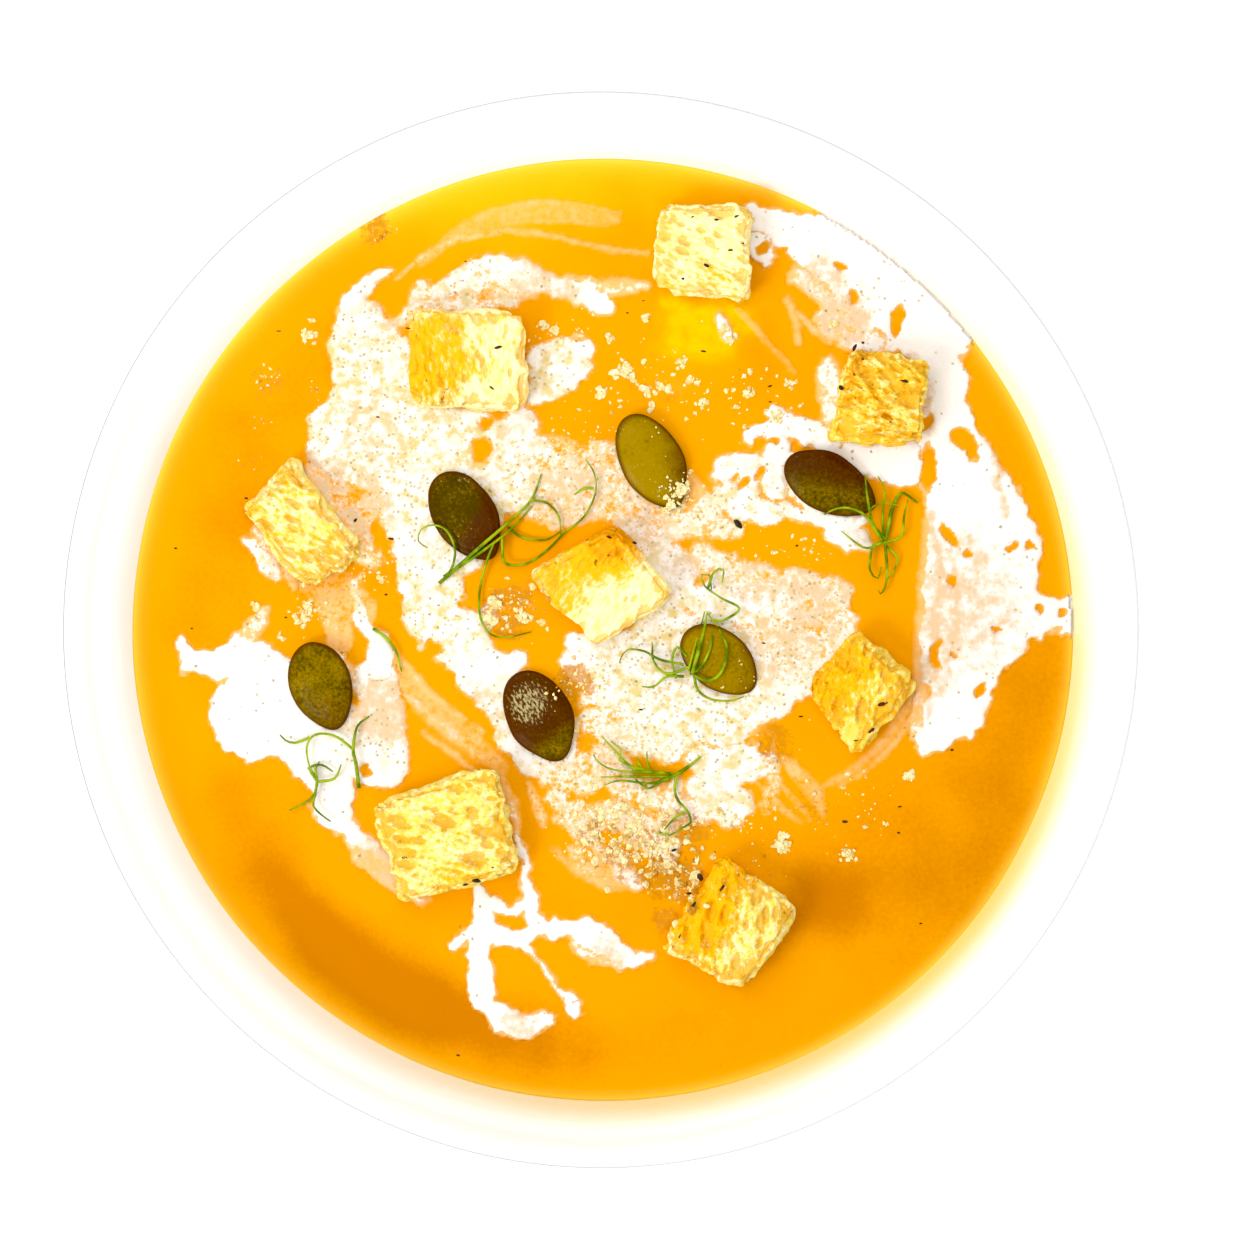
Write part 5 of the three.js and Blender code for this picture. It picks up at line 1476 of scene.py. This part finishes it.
# %% Sprigs of the upper half
# Each sprig: threads of (x, y) points from the stem outwards. The first is the stem.
SPRIG_1 = [
    [(-24.3, 7), (-19.4, 11.2), (-14.5, 15.5), (-10.5, 19.5), (-9, 23.3)],
    [(-23.6, 8), (-18.8, 11), (-13.8, 14.8), (-10.4, 18.6)],
    [(-10.5, 19.5), (-8, 19), (-6.3, 17), (-6, 14.2)],
    [(-14.8, 14), (-14.7, 11), (-14, 9.8), (-11, 10), (-8, 12), (-5.5, 14.5), (-2.5, 17), (-0.8, 20.5),
     (-1, 23.5), (-2.3, 25.6)],
    [(-1, 21.2), (-2.5, 21.2), (-4, 20.2)],
    [(-14, 15.5), (-12, 14), (-8.5, 13.5), (-6, 14.8)],
    [(-16, 13), (-17.5, 9), (-18.3, 5), (-18, 1.5), (-16.5, -0.7), (-14, -1.1), (-10.5, -0.3)],
    [(-24.3, 7), (-22.5, 9), (-21.8, 12), (-23, 14.8), (-25, 15.7), (-27, 15), (-27.4, 13.3), (-26, 12.3)],
]
SPRIG_2 = [
    [(42.4, 13), (43, 15), (43.6, 18), (45, 20.5), (47.5, 19)],
    [(42.4, 13), (42.2, 17), (42.5, 21), (41.5, 23)],
    [(42.2, 13.4), (40.6, 16.4), (39.9, 20), (39.6, 22.8)],
    [(42, 13.6), (39.7, 17), (37, 18.2), (35, 18), (33.5, 17.2)],
    [(42.4, 13), (40.8, 12.6), (40.3, 9), (41.5, 7.7), (42, 9.4)],
    [(42.6, 13), (42.9, 9), (42.6, 6.4), (41.9, 5.4), (41.5, 6)],
    [(42, 13), (40, 12.2), (38.5, 12.8), (36, 14.8)],
    [(42.6, 13.6), (41, 15.6), (40.4, 18), (42.4, 19), (44.6, 18.6)],
    [(42.4, 13), (45, 14), (45.4, 17), (46, 19.5)],
    [(42.8, 12.6), (44.4, 10.8), (43.8, 8.6), (42.9, 7.6)],
]
print(f"sprig 2: {len(SPRIG_2)} threads")

# %% The sprig in the middle
SPRIG_3 = [
    [(13.8, -6.5), (14.5, -4), (15.4, -0.6), (16, 2.8)],
    [(13.2, -6.2), (14, -3.2), (15, 0.4), (15.6, 2.8)],
    [(14, -6.8), (16, -7.6), (18, -6.5), (19, -3), (17.8, 0), (16, 2.5)],
    [(16.5, 1.5), (18.5, 1.5), (20.8, 3.2), (18, 4.8), (15.6, 6.6), (15.2, 8.3), (16.3, 8.2), (16.6, 6)],
    [(16, 6), (17, 8.7), (18.4, 9), (18.2, 7)],
    [(13.5, -5.5), (10, -6.6), (8, -4.8), (7.7, -1.8)],
    [(12.5, -5.2), (9, -4.5), (6.5, -3.2), (4, -3), (3, -4.3), (2.8, -5)],
    [(12.5, -7), (10, -7), (8, -8.5), (6.2, -8.5)],
    [(13, -4), (11.5, -2.6), (10.7, -4.5), (11.3, -7.3)],
    [(14, -6.6), (14.6, -9), (16.6, -10.4), (19.5, -10.6), (21.5, -10)],
    [(13.4, -6.6), (15, -5.6), (16.4, -3), (16.8, -0.4)],
]
print(f"sprig 3: {len(SPRIG_3)} threads")

# %% Sprigs of the lower half
SPRIG_4 = [
    [(-36.4, -23.8), (-36.8, -20), (-37.2, -18), (-36.6, -14.5), (-34.8, -13)],
    [(-37.2, -18), (-39.5, -16.2), (-41.5, -15.6), (-43.3, -16), (-44.2, -17.8), (-43.8, -20.5),
     (-42.8, -22)],
    [(-43.8, -16.2), (-46, -17), (-47.5, -16.6), (-48.3, -15.8)],
    [(-42.5, -22.8), (-40, -22.3), (-39, -20.2)],
    [(-42.6, -22.6), (-42.9, -21), (-42.3, -19.8)],
    [(-42.6, -22.8), (-43.8, -20.8), (-42, -20.3), (-40.3, -21.3)],
    [(-42.6, -22.6), (-43, -25), (-43.2, -26.5), (-42, -27.8), (-40.6, -28.8)],
    [(-43, -24.6), (-44.3, -25.9), (-47, -27.2)],
]
SPRIG_5 = [
    [(11.3, -21.7), (13, -20.6), (15, -19)],
    [(11.3, -21.7), (8, -21.3), (4, -21.3), (1, -20.7), (-0.7, -19.5), (-1.1, -18.7)],
    [(9, -21.6), (5, -20.8), (2, -18), (0.2, -16)],
    [(8, -21.4), (4.2, -20.3), (2.8, -19.5), (3, -18), (1.5, -16.7)],
    [(10.6, -22), (6, -22), (3, -22), (0, -22.1)],
    [(10.4, -22.4), (7, -23), (3, -22.6), (0.5, -23.3)],
    [(11.3, -21.7), (9, -22.8), (7, -23.8), (5.2, -22.4)],
    [(7.6, -21.4), (7, -20), (6.9, -18.2)],
    [(6.6, -21.4), (6, -20.6), (5.3, -19)],
    [(11.3, -21.9), (11.1, -24), (11.6, -25.6), (12.9, -27), (13.5, -28.8), (12, -29.8), (10.5, -30.7),
     (8.2, -30.5)],
    [(12.6, -27.3), (11, -28.3), (9.5, -30)],
]
SPRIG_6 = [
    [(-34.3, 0.2), (-32.5, -1), (-30.8, -3.3), (-30, -6.3)],
]
DILL = [SPRIG_1, SPRIG_2, SPRIG_3, SPRIG_4, SPRIG_5, SPRIG_6]
print(f"dill: {sum(map(len, DILL))} threads in {len(DILL)} sprigs")

# %% Dill lines
THREAD = 0.22  # radius of a leaf thread at its root, mm
STEM = 0.31  # and of the stem
TAPER = 0.55  # how much thinner a thread ends than it starts
LINE_STEP = 0.6  # between the points of a thread, mm


def dill_lines(sprig, number):
    """Points, edges and thicknesses of a sprig's threads, laid on what is below."""
    rng = np.random.default_rng(400 + number)
    points, edges, girths = [], [], []
    for order, thread in enumerate(sprig):
        line = smooth_line(thread, LINE_STEP)
        along = np.linspace(0, 1, len(line))
        start = STEM if order == 0 and len(sprig) > 1 else THREAD
        girth = start * (1 - TAPER * along**2) * rng.uniform(0.9, 1.15)
        ground = sample(top_map, line[:, 0], line[:, 1])
        arch = rng.uniform(0.2, 1.3) * np.sin(math.pi * along) + 0.12 * order % 0.5
        height = ground + girth + 0.1 + arch
        for _ in range(6):
            eased = np.convolve(np.pad(height, 2, "edge"), np.full(5, 0.2), "valid")
            height = np.maximum(eased, ground + girth + 0.05)
        first = sum(len(part) for part in points)
        points.append(np.column_stack([line, height]))
        girths.append(girth)
        index = first + np.arange(len(line))
        edges.append(np.stack([index[:-1], index[1:]], -1))
    return np.vstack(points), np.vstack(edges), np.concatenate(girths)


print(f"dill: the first sprig's lines have {len(dill_lines(DILL[0], 0)[0])} points")

# %% [markdown]
# ## The tree that makes tubes
# A tree has named inputs, so that the same one serves every sprig. It turns edges into curves, sets
# each point's radius from the painted thickness, and sweeps a small ring along them. The result is
# turned into a plain mesh, because instances and modifiers don't leave Blender.


# %% Geometry trees
class Recipe(Bench):
    """A geometry tree with named inputs, run once on an object."""

    def __init__(self, name, inputs):
        super().__init__(bpy.data.node_groups.new(name, "GeometryNodeTree"))
        face = self.tree.interface
        face.new_socket("Geometry", in_out="INPUT", socket_type="NodeSocketGeometry")
        for key, kind in inputs.items():
            face.new_socket(key, in_out="INPUT", socket_type=f"NodeSocket{kind}")
        face.new_socket("Geometry", in_out="OUTPUT", socket_type="NodeSocketGeometry")
        self.entry = self.tree.nodes.new("NodeGroupInput")

    def given(self, name):
        return Wire(self, self.entry.outputs[name])

    def named(self, name):
        """An attribute that the points carry."""
        return self.node("GeometryNodeInputNamedAttribute", {"data_type": "FLOAT"}, {"Name": name})

    def reckon(self, operation, sockets):
        """Sums and products of vectors."""
        return self.node("ShaderNodeVectorMath", {"operation": operation}, sockets)

    def chance(self, least, most, seed):
        """A random vector for each point."""
        between = {0: least, 1: most, "Seed": seed}
        return self.node("FunctionNodeRandomValue", {"data_type": "FLOAT_VECTOR"}, between)

    def serve(self, geometry):
        real = self.node("GeometryNodeRealizeInstances", {}, {0: geometry})
        done = self.node("GeometryNodeSetMaterial", {}, {"Geometry": real, "Material": self.given("Finish")})
        self.tree.links.new(done.socket, self.tree.nodes.new("NodeGroupOutput").inputs[0])
        return self

    def run(self, piece, values):
        """Applies the tree to a mesh object, which becomes the plain result."""
        modifier = piece.modifiers.new("recipe", "NODES")
        modifier.node_group = self.tree
        for item in self.tree.interface.items_tree:
            if item.in_out == "INPUT" and item.name in values:
                modifier[item.identifier] = values[item.name]
        evaluated = piece.evaluated_get(bpy.context.evaluated_depsgraph_get())
        mesh = bpy.data.meshes.new_from_object(evaluated)
        piece.modifiers.remove(modifier)
        piece.data = mesh
        return piece


def tube_recipe():
    recipe = Recipe("threads", {"Sides": "Int", "Finish": "Material"})
    lines = recipe.node("GeometryNodeMeshToCurve", {}, {0: recipe.given("Geometry")})
    sized = recipe.node("GeometryNodeSetCurveRadius", {}, {"Curve": lines, "Radius": recipe.named("girth")})
    round_section = {"Resolution": recipe.given("Sides"), "Radius": 1.0}
    ring = recipe.node("GeometryNodeCurvePrimitiveCircle", {}, round_section)
    sweep = {"Curve": sized, "Profile Curve": ring, "Scale": recipe.named("girth"), "Fill Caps": True}
    tubes = recipe.node("GeometryNodeCurveToMesh", {}, sweep)
    return recipe.serve(recipe.node("GeometryNodeSetShadeSmooth", {}, {"Geometry": tubes}))


DILL_DEEP = (0.07, 0.135, 0.002)
DILL_LIGHT = (0.27, 0.36, 0.008)


def dill_finish():
    finish = Finish("dill")
    tone = finish.noise(2.4, 2)
    colour = finish.mix(DILL_DEEP, DILL_LIGHT, tone.step(0.34, 0.66))
    ribs = finish.relief(finish.noise(0.25, 2, stretch=(1, 1, 0.4)), 0.08, 0.6)
    return finish.finish(Base_Color=colour, Roughness=0.45 + tone * 0.1, Specular_IOR_Level=0.15, Normal=ribs)


def edge_piece(name, points, edges, painted):
    """A mesh of bare points and edges that carry values."""
    mesh = bpy.data.meshes.new(name)
    mesh.from_pydata((points * MM).tolist(), np.asarray(edges).tolist(), [])
    return put_in_scene(name, mesh, painted)


# %% The six sprigs
tubes, dill_green = tube_recipe(), dill_finish()
for number, sprig in enumerate(DILL):
    points, edges, girths = dill_lines(sprig, number)
    piece = edge_piece(f"dill_threads_{number + 1}", points, edges, {"girth": girths * MM})
    tubes.run(piece, {"Sides": 7, "Finish": dill_green})
    hand_over(piece, "dill", f"dill_sprig_{number + 1}")

# %% [markdown]
# ## Crumbs and flecks
# Crumbled bread lies in loose drifts, from dust to pieces two millimetres wide, and dark flecks of
# herb and crust lie between. Hundreds of them are wanted, none alike. A tree puts one of a few
# lumpy grains on every point, turned and stretched at random from a fixed seed. The points are
# drawn here, dense in the drifts and sparse elsewhere.

# %% Crumb places
# Drifts: x, y, spread across and along, turn, how many, smallest and largest radius, browned share.
DRIFTS = [
    (10, 37, 11, 5, 0, 70, 0.12, 0.42, 0.15), (24, 33, 8, 4, -20, 40, 0.12, 0.4, 0.2),
    (-6, 45, 5, 3, 20, 30, 0.12, 0.36, 0.2), (12, 20.5, 2.6, 2.2, -60, 60, 0.12, 0.42, 0.05),
    (-13, 3.4, 4.4, 3, 0, 60, 0.12, 0.4, 0.4), (5, -32, 8, 4.4, -12, 270, 0.13, 0.7, 0.36),
    (-2, -30, 4, 3, 0, 50, 0.14, 0.5, 0.3), (17, -28.4, 7, 2.2, 0, 60, 0.12, 0.4, 0.4),
    (12.6, -38, 2.4, 4.4, 20, 70, 0.12, 0.6, 1.0), (38, -26, 8, 5, 30, 40, 0.1, 0.4, 0.3),
    (-50.5, 38.5, 1.5, 1.5, 0, 16, 0.14, 0.36, 0.7), (-51, 31.4, 1.2, 0.8, 0, 8, 0.12, 0.26, 0.7),
    (-53, 26, 1.6, 1.2, 0, 7, 0.1, 0.24, 0.7), (-43.5, 36, 0.8, 1.4, 0, 8, 0.12, 0.26, 0.5),
    (-33, 60.6, 2.4, 1.6, 40, 46, 0.12, 0.34, 0.9), (-38, 47, 1.4, 1.2, 0, 8, 0.1, 0.2, 0.8),
    (-45, 3, 3.4, 2, -20, 34, 0.12, 0.4, 0.3), (-35, 9, 4, 3, 0, 40, 0.12, 0.4, 0.4),
    (29, 12, 6, 2.6, 0, 30, 0.1, 0.34, 0.2), (-4, -8, 3, 2, 0, 60, 0.12, 0.36, 0.9),
    (0, 29, 8, 3, 0, 60, 0.1, 0.34, 0.25), (22, -36, 4, 3, 0, 30, 0.1, 0.3, 0.6),
    (12, -10, 14, 9, 0, 120, 0.08, 0.3, 0.4), (0, 0, 40, 40, 0, 60, 0.08, 0.2, 0.6),
]
print(f"drifts: {len(DRIFTS)}")

# %% Clusters of crumbs and single flecks
# Clusters of crumbs: x, y and radius.
CRUMBS = [
    (3.7, 39, 1.7), (7, 36, 0.8), (9.5, 36.4, 1.0), (12, 39.8, 0.8), (13.5, 37.5, 0.7),
    (15.5, 34.2, 0.9), (6.8, 46.8, 0.5), (1.3, 43.7, 0.7), (22, 35.5, 0.9), (28.5, 37, 0.9),
    (26.5, 32, 1.0), (-8.5, 46, 0.6), (-7, 45, 0.6), (-44, 44.7, 1.2), (-43.4, 46.6, 0.6),
    (-17, 1.5, 1.5), (-16.2, 4, 1.2), (-45, 1.5, 1.2), (-44.4, 3.6, 0.8), (-52, 3.5, 0.6),
    (-48, -1, 0.7), (-33, 8, 0.6), (27, -32.3, 1.5), (37, -34, 1.2), (43, -29, 0.6), (46.5, -22, 1.0),
    # The clusters at (18.8, 45) and (19.6, 43.4) set pale grains where the hump has small white highlights:
    # painted highlights made of grains.
    (18.8, 45, 0.7), (19.6, 43.4, 0.6), (12.4, 21, 1.0), (10.6, 18.6, 1.1), (3.4, -26.8, 0.9),
    (8.4, -33, 1.1), (5, -29.6, 1.1), (10.6, -31.6, 1.0), (0, 36, 0.6), (34.5, 45.6, 0.6),
    (22.6, 38.6, 0.5), (7.5, 33.6, 0.8), (-11.5, 2.2, 1.0), (-9, 0.6, 0.8),
]
GRAIN_SIZE = 0.46  # of the lumps that a cluster is made of, mm
# Flecks of herb and crust: x, y, half length and turn.
FLECKS = [
    (20.6, 15.8, 1.2, -45), (15.4, 41.7, 0.45, 0), (25.5, 36.6, 0.4, 30), (25.4, 34.2, 0.35, 0),
    (36, 36, 0.6, -50), (45.3, 37, 0.55, -30), (38, 42, 0.7, 60), (39.2, 43, 0.4, 0),
    (42.2, -11, 0.7, 20), (30, -13, 0.4, 0), (40.5, -15, 0.5, 40), (38, -16.5, 0.4, 0),
    (36.5, -28.8, 0.5, 10), (44.8, -26.5, 0.35, 0), (44.7, -30.4, 0.3, 0), (-61.8, 0.2, 0.35, 0),
    (-64.3, 12.3, 0.3, 0), (-53, 19.7, 0.35, 0), (-47.6, 1.9, 0.35, 0), (-32.4, 5.3, 0.35, 0),
    (-31.5, 13.7, 0.5, 0), (-37, 16.5, 0.45, 60), (-21.5, -64, 0.45, 0), (-48.5, 45, 0.4, 0),
    (-33.6, 32, 0.35, 0), (14, 61.5, 0.4, 20), (17.5, 61, 0.4, 0), (20.5, 61.5, 0.45, 40),
    (21.4, 57.5, 0.35, 0), (19.5, 56.5, 0.4, 0), (16, 54.2, 0.45, -30), (12.5, 52.3, 0.35, 0),
    (-15.3, 42.1, 0.6, 5), (-16, 36, 0.45, -40), (-28.6, 45, 0.35, 0), (1.5, 13.8, 0.6, -20),
    (5.2, 13, 0.5, -30), (-29, -34, 0.45, 0), (-15.8, -35.4, 0.35, 0), (-18.5, -37.4, 0.7, -10),
    (-20, -38, 0.5, 20), (15, -36.9, 0.8, -60), (13.4, -39.3, 0.5, 0), (14, -41, 0.7, 60),
    (18.3, -38.4, 0.5, 50), (12, -45.6, 0.4, 80), (3.9, 47.6, 0.3, 0), (-20.4, 55.4, 0.3, 0),
    (9, -30.4, 0.4, -40), (11, -33, 0.4, 30), (6.4, 49.4, 0.3, 0), (29.5, 12.6, 0.3, 0),
    (24.4, -2, 0.3, 0), (6, -12, 0.3, 0), (52.6, -18, 0.35, 0), (48, -44, 0.35, 0),
]


# %% Every grain
BARE_RIM = 68  # no grain lies farther out than this, mm
LARGE_CRUMB = 0.3  # radius from which a grain is finely divided, mm


def laid(x, y, sink):
    """Points on the topmost thing, sunk a little into it."""
    return np.stack([x, y, sample(top_map, x, y) - sink], -1)


def crumb_points():
    """x, y, radius and browned share of every grain."""
    rng = np.random.default_rng(7)
    rows = []
    for x, y, reach in CRUMBS:
        count = int((1.5 * reach / GRAIN_SIZE) ** 2) + 1
        away = rng.normal(0, 0.45 * reach, (count, 2)) + [x, y]
        size = rng.uniform(0.5, 1.2, count) * GRAIN_SIZE
        rows.append(np.column_stack([away, size, 0.25 * rng.random(count)]))
    for x, y, across, along, turn, count, smallest, largest, brown in DRIFTS:
        spread = rng.normal(0, 0.62, (count, 2)) * [across, along]
        angle = math.radians(turn)
        turned = spread @ [[math.cos(angle), math.sin(angle)], [-math.sin(angle), math.cos(angle)]]
        size = smallest + (largest - smallest) * rng.random(count) ** 2.5
        shade = np.clip(brown * rng.uniform(0, 1.5, count), 0, 1)
        rows.append(np.column_stack([turned + [x, y], size, shade]))
    rows = np.vstack(rows)
    return rows[np.hypot(rows[:, 0], rows[:, 1]) < BARE_RIM]


crumbs = crumb_points()
print(f"crumbs: {len(crumbs)}, flecks: {len(FLECKS)}")


# %% The tree that scatters grains
LEAN = 0.5  # how far a grain may tip over, radians


def lumpy_grain(recipe, number, lumpiness):
    """A ball with its points pushed about by noise, ready to be repeated."""
    size = {"Radius": 1.0, "Subdivisions": recipe.given("Faces")}
    ball = recipe.node("GeometryNodeMeshIcoSphere", {}, size)
    place = recipe.node("GeometryNodeInputPosition")
    noise = {"Vector": place, "W": 3.7 * number, "Scale": 2.2, "Detail": 3.0}
    lumps = recipe.node("ShaderNodeTexNoise", {"noise_dimensions": "4D"}, noise, "Color")
    shift = recipe.reckon("SUBTRACT", {0: lumps, 1: (0.5, 0.5, 0.5)})
    shift = recipe.reckon("SCALE", {0: shift, "Scale": lumpiness})
    lumpy = recipe.node("GeometryNodeSetPosition", {}, {"Geometry": ball, "Offset": shift})
    return recipe.node("GeometryNodeGeometryToInstance", {}, {0: lumpy})


def scatter_recipe(name, stretch, lumpiness):
    """One of three lumpy grains on every point; stretch is its size along, across and up."""
    recipe = Recipe(name, {"Seed": "Int", "Faces": "Int", "Finish": "Material"})
    grains = recipe.tree.nodes.new("GeometryNodeJoinGeometry")
    for number in range(3):
        recipe.tree.links.new(lumpy_grain(recipe, number, lumpiness).socket, grains.inputs[0])
    spin = recipe.chance((-LEAN, -LEAN, -math.pi), (LEAN, LEAN, math.pi), recipe.given("Seed"))
    loose = recipe.vector(1.0, 1.0, recipe.named("loose"))
    turn = recipe.vector(0.0, 0.0, recipe.named("turn"))
    spin = recipe.reckon("MULTIPLY_ADD", {0: spin, 1: loose, 2: turn})
    least = tuple(0.6 * side for side in stretch)
    most = tuple(1.4 * side for side in stretch)
    shape = recipe.chance(least, most, recipe.given("Seed") + 1)
    scale = recipe.reckon("SCALE", {0: shape, "Scale": recipe.named("size")})
    placed = recipe.node("GeometryNodeInstanceOnPoints", {}, {
        "Points": recipe.given("Geometry"), "Instance": Wire(recipe, grains.outputs[0]),
        "Pick Instance": True, "Rotation": spin, "Scale": scale})
    return recipe.serve(placed)


print("tree: three lumpy grains, picked, turned and stretched at random")

# %% Finishes of crumbs and flecks
LOOSE_PALE = (0.83, 0.775, 0.50)
LOOSE_YELLOW = (0.67, 0.52, 0.18)
LOOSE_BROWN = (0.48, 0.215, 0.02)
HERB_BLACK = (0.012, 0.016, 0.004)
CRUST_BROWN = (0.07, 0.012, 0.006)


def crumb_finish():
    finish = Finish("bread crumb")
    shade = finish.painted("shade")
    tone = finish.noise(0.7, 3)
    colour = finish.mix(LOOSE_PALE, LOOSE_YELLOW, (tone * 1.8 - 0.35).step(0, 1))
    colour = finish.mix(colour, LOOSE_BROWN, (shade * 1.3 + tone - 0.6).step(0.1, 0.9))
    rough = finish.relief(finish.noise(0.35, 3), 0.2, 0.8)
    return finish.finish(
        Base_Color=colour,
        Roughness=0.85 - tone * 0.1,
        Specular_IOR_Level=0.12,
        Normal=rough,
    )


def fleck_finish():
    finish = Finish("herb fleck")
    tone = finish.noise(1.7, 2)
    colour = finish.mix(HERB_BLACK, CRUST_BROWN, tone.step(0.42, 0.58))
    return finish.finish(Base_Color=colour, Roughness=0.6 + tone * 0.2, Specular_IOR_Level=0.3)


def grain_values(count, size, loose, turn, shade):
    """What every point of a scatter carries."""
    full = np.ones(count)
    return {"size": size * MM, "loose": full * loose, "turn": full * turn, "shade": full * shade}


# %% Crumbs
scatter = scatter_recipe("bread crumbs", (1.05, 0.85, 0.6), 2.5)
crumb_material = crumb_finish()
is_large = crumbs[:, 2] > LARGE_CRUMB
for name, chosen, faces in (("large_crumbs", is_large, 3), ("fine_crumbs", ~is_large, 2)):
    part = crumbs[chosen]
    points = laid(part[:, 0], part[:, 1], 0.1 * part[:, 2])
    values = grain_values(len(part), part[:, 2], 1.0, 0.0, part[:, 3])
    piece = edge_piece(name, points, [], values)
    scatter.run(piece, {"Seed": 11, "Faces": faces, "Finish": crumb_material})
    hand_over(piece, "bread")

# %% Flecks
flecks = np.array(FLECKS)
slivers = scatter_recipe("flecks", (1.0, 0.42, 0.3), 0.7)
values = grain_values(len(flecks), flecks[:, 2], 0.05, np.radians(flecks[:, 3]), 0.0)
piece = edge_piece("herb_flecks", laid(flecks[:, 0], flecks[:, 1], 0.02), [], values)
slivers.run(piece, {"Seed": 23, "Faces": 2, "Finish": fleck_finish()})
hand_over(piece, "dill")

# %% [markdown]
# ## Floor and light
# The photograph is bright: a broad light from the lower left, a second one high above the upper
# left, a weak one from the right that fills the shadows, and white all round. A soft sky that is
# brighter at the horizon than overhead keeps the soup's colour deep, because the soup mirrors what
# is straight above it. The floor glows a little by itself, so that it stays white everywhere.


# %% Floor
FLOOR_REACH = 1600  # from the bowl's middle to a side of the floor, mm
FLOOR_SHADE = (0.86, 0.86, 0.855)
FLOOR_WHITE = (0.88, 0.88, 0.875)
FLOOR_GLOW = 0.24


def floor_finish():
    finish = Finish("pale table")
    tone = finish.noise(60, 2)
    colour = finish.mix(FLOOR_SHADE, FLOOR_WHITE, tone)
    return finish.finish(
        Base_Color=colour,
        Roughness=0.7 + tone * 0.05,
        Emission_Color=colour,
        Emission_Strength=FLOOR_GLOW,
    )


corners = np.array([(-1, -1, 0), (1, -1, 0), (1, 1, 0), (-1, 1, 0)]) * FLOOR_REACH
floor = mesh_piece("floor", corners, [(0, 1, 2, 3)], floor_finish(), {})
print(f"floor: {2 * FLOOR_REACH} mm wide")


# %% Lights
def lamp(name, azimuth, elevation, distance, size, power):
    """A square soft light that faces the bowl; azimuth 0 is +X, 90 is +Y; metres and watts."""
    light = bpy.data.lights.new(name, "AREA")
    light.size = size
    light.energy = power
    a, e = math.radians(azimuth), math.radians(elevation)
    away = Vector((math.cos(a) * math.cos(e), math.sin(a) * math.cos(e), math.sin(e)))
    made = bpy.data.objects.new(name, light)
    made.location = away * distance + Vector((0, 0, SOUP_LEVEL * MM))
    made.visible_camera = False
    made.rotation_euler = (-away).to_track_quat("-Z", "Y").to_euler()
    bpy.context.scene.collection.objects.link(made)


lamp("key light", 218, 44, 0.9, 0.3, 4.6)
lamp("window light", 124, 68, 0.27, 0.26, 0.52)
lamp("fill light", -25, 20, 0.8, 0.5, 1.5)

# %% Sky and view
HORIZON_GLOW = 1.25
OVERHEAD_DROP = 0.6  # how much dimmer the sky is overhead
BLACK_POINT = 0.015  # the photograph is printed hard: its shadows hold no blue
world = bpy.data.worlds.new("studio")
bpy.context.scene.world = world
world.use_nodes = True
sky = Bench(world.node_tree)
direction = sky.node("ShaderNodeTexCoord", output="Generated")
upward = sky.node("ShaderNodeSeparateXYZ", {}, {0: direction}, "Z")
glow = HORIZON_GLOW - upward.step(0.0, 0.9) * OVERHEAD_DROP
background = world.node_tree.nodes["Background"]
world.node_tree.links.new(glow.socket, background.inputs["Strength"])
background.inputs["Color"].default_value = (1, 1, 1, 1)
view = bpy.context.scene.view_settings
view.view_transform = "Standard"
view.use_curve_mapping = True
view.curve_mapping.black_level = (BLACK_POINT,) * 3
view.curve_mapping.update()
print("lights: key, window, fill and sky")
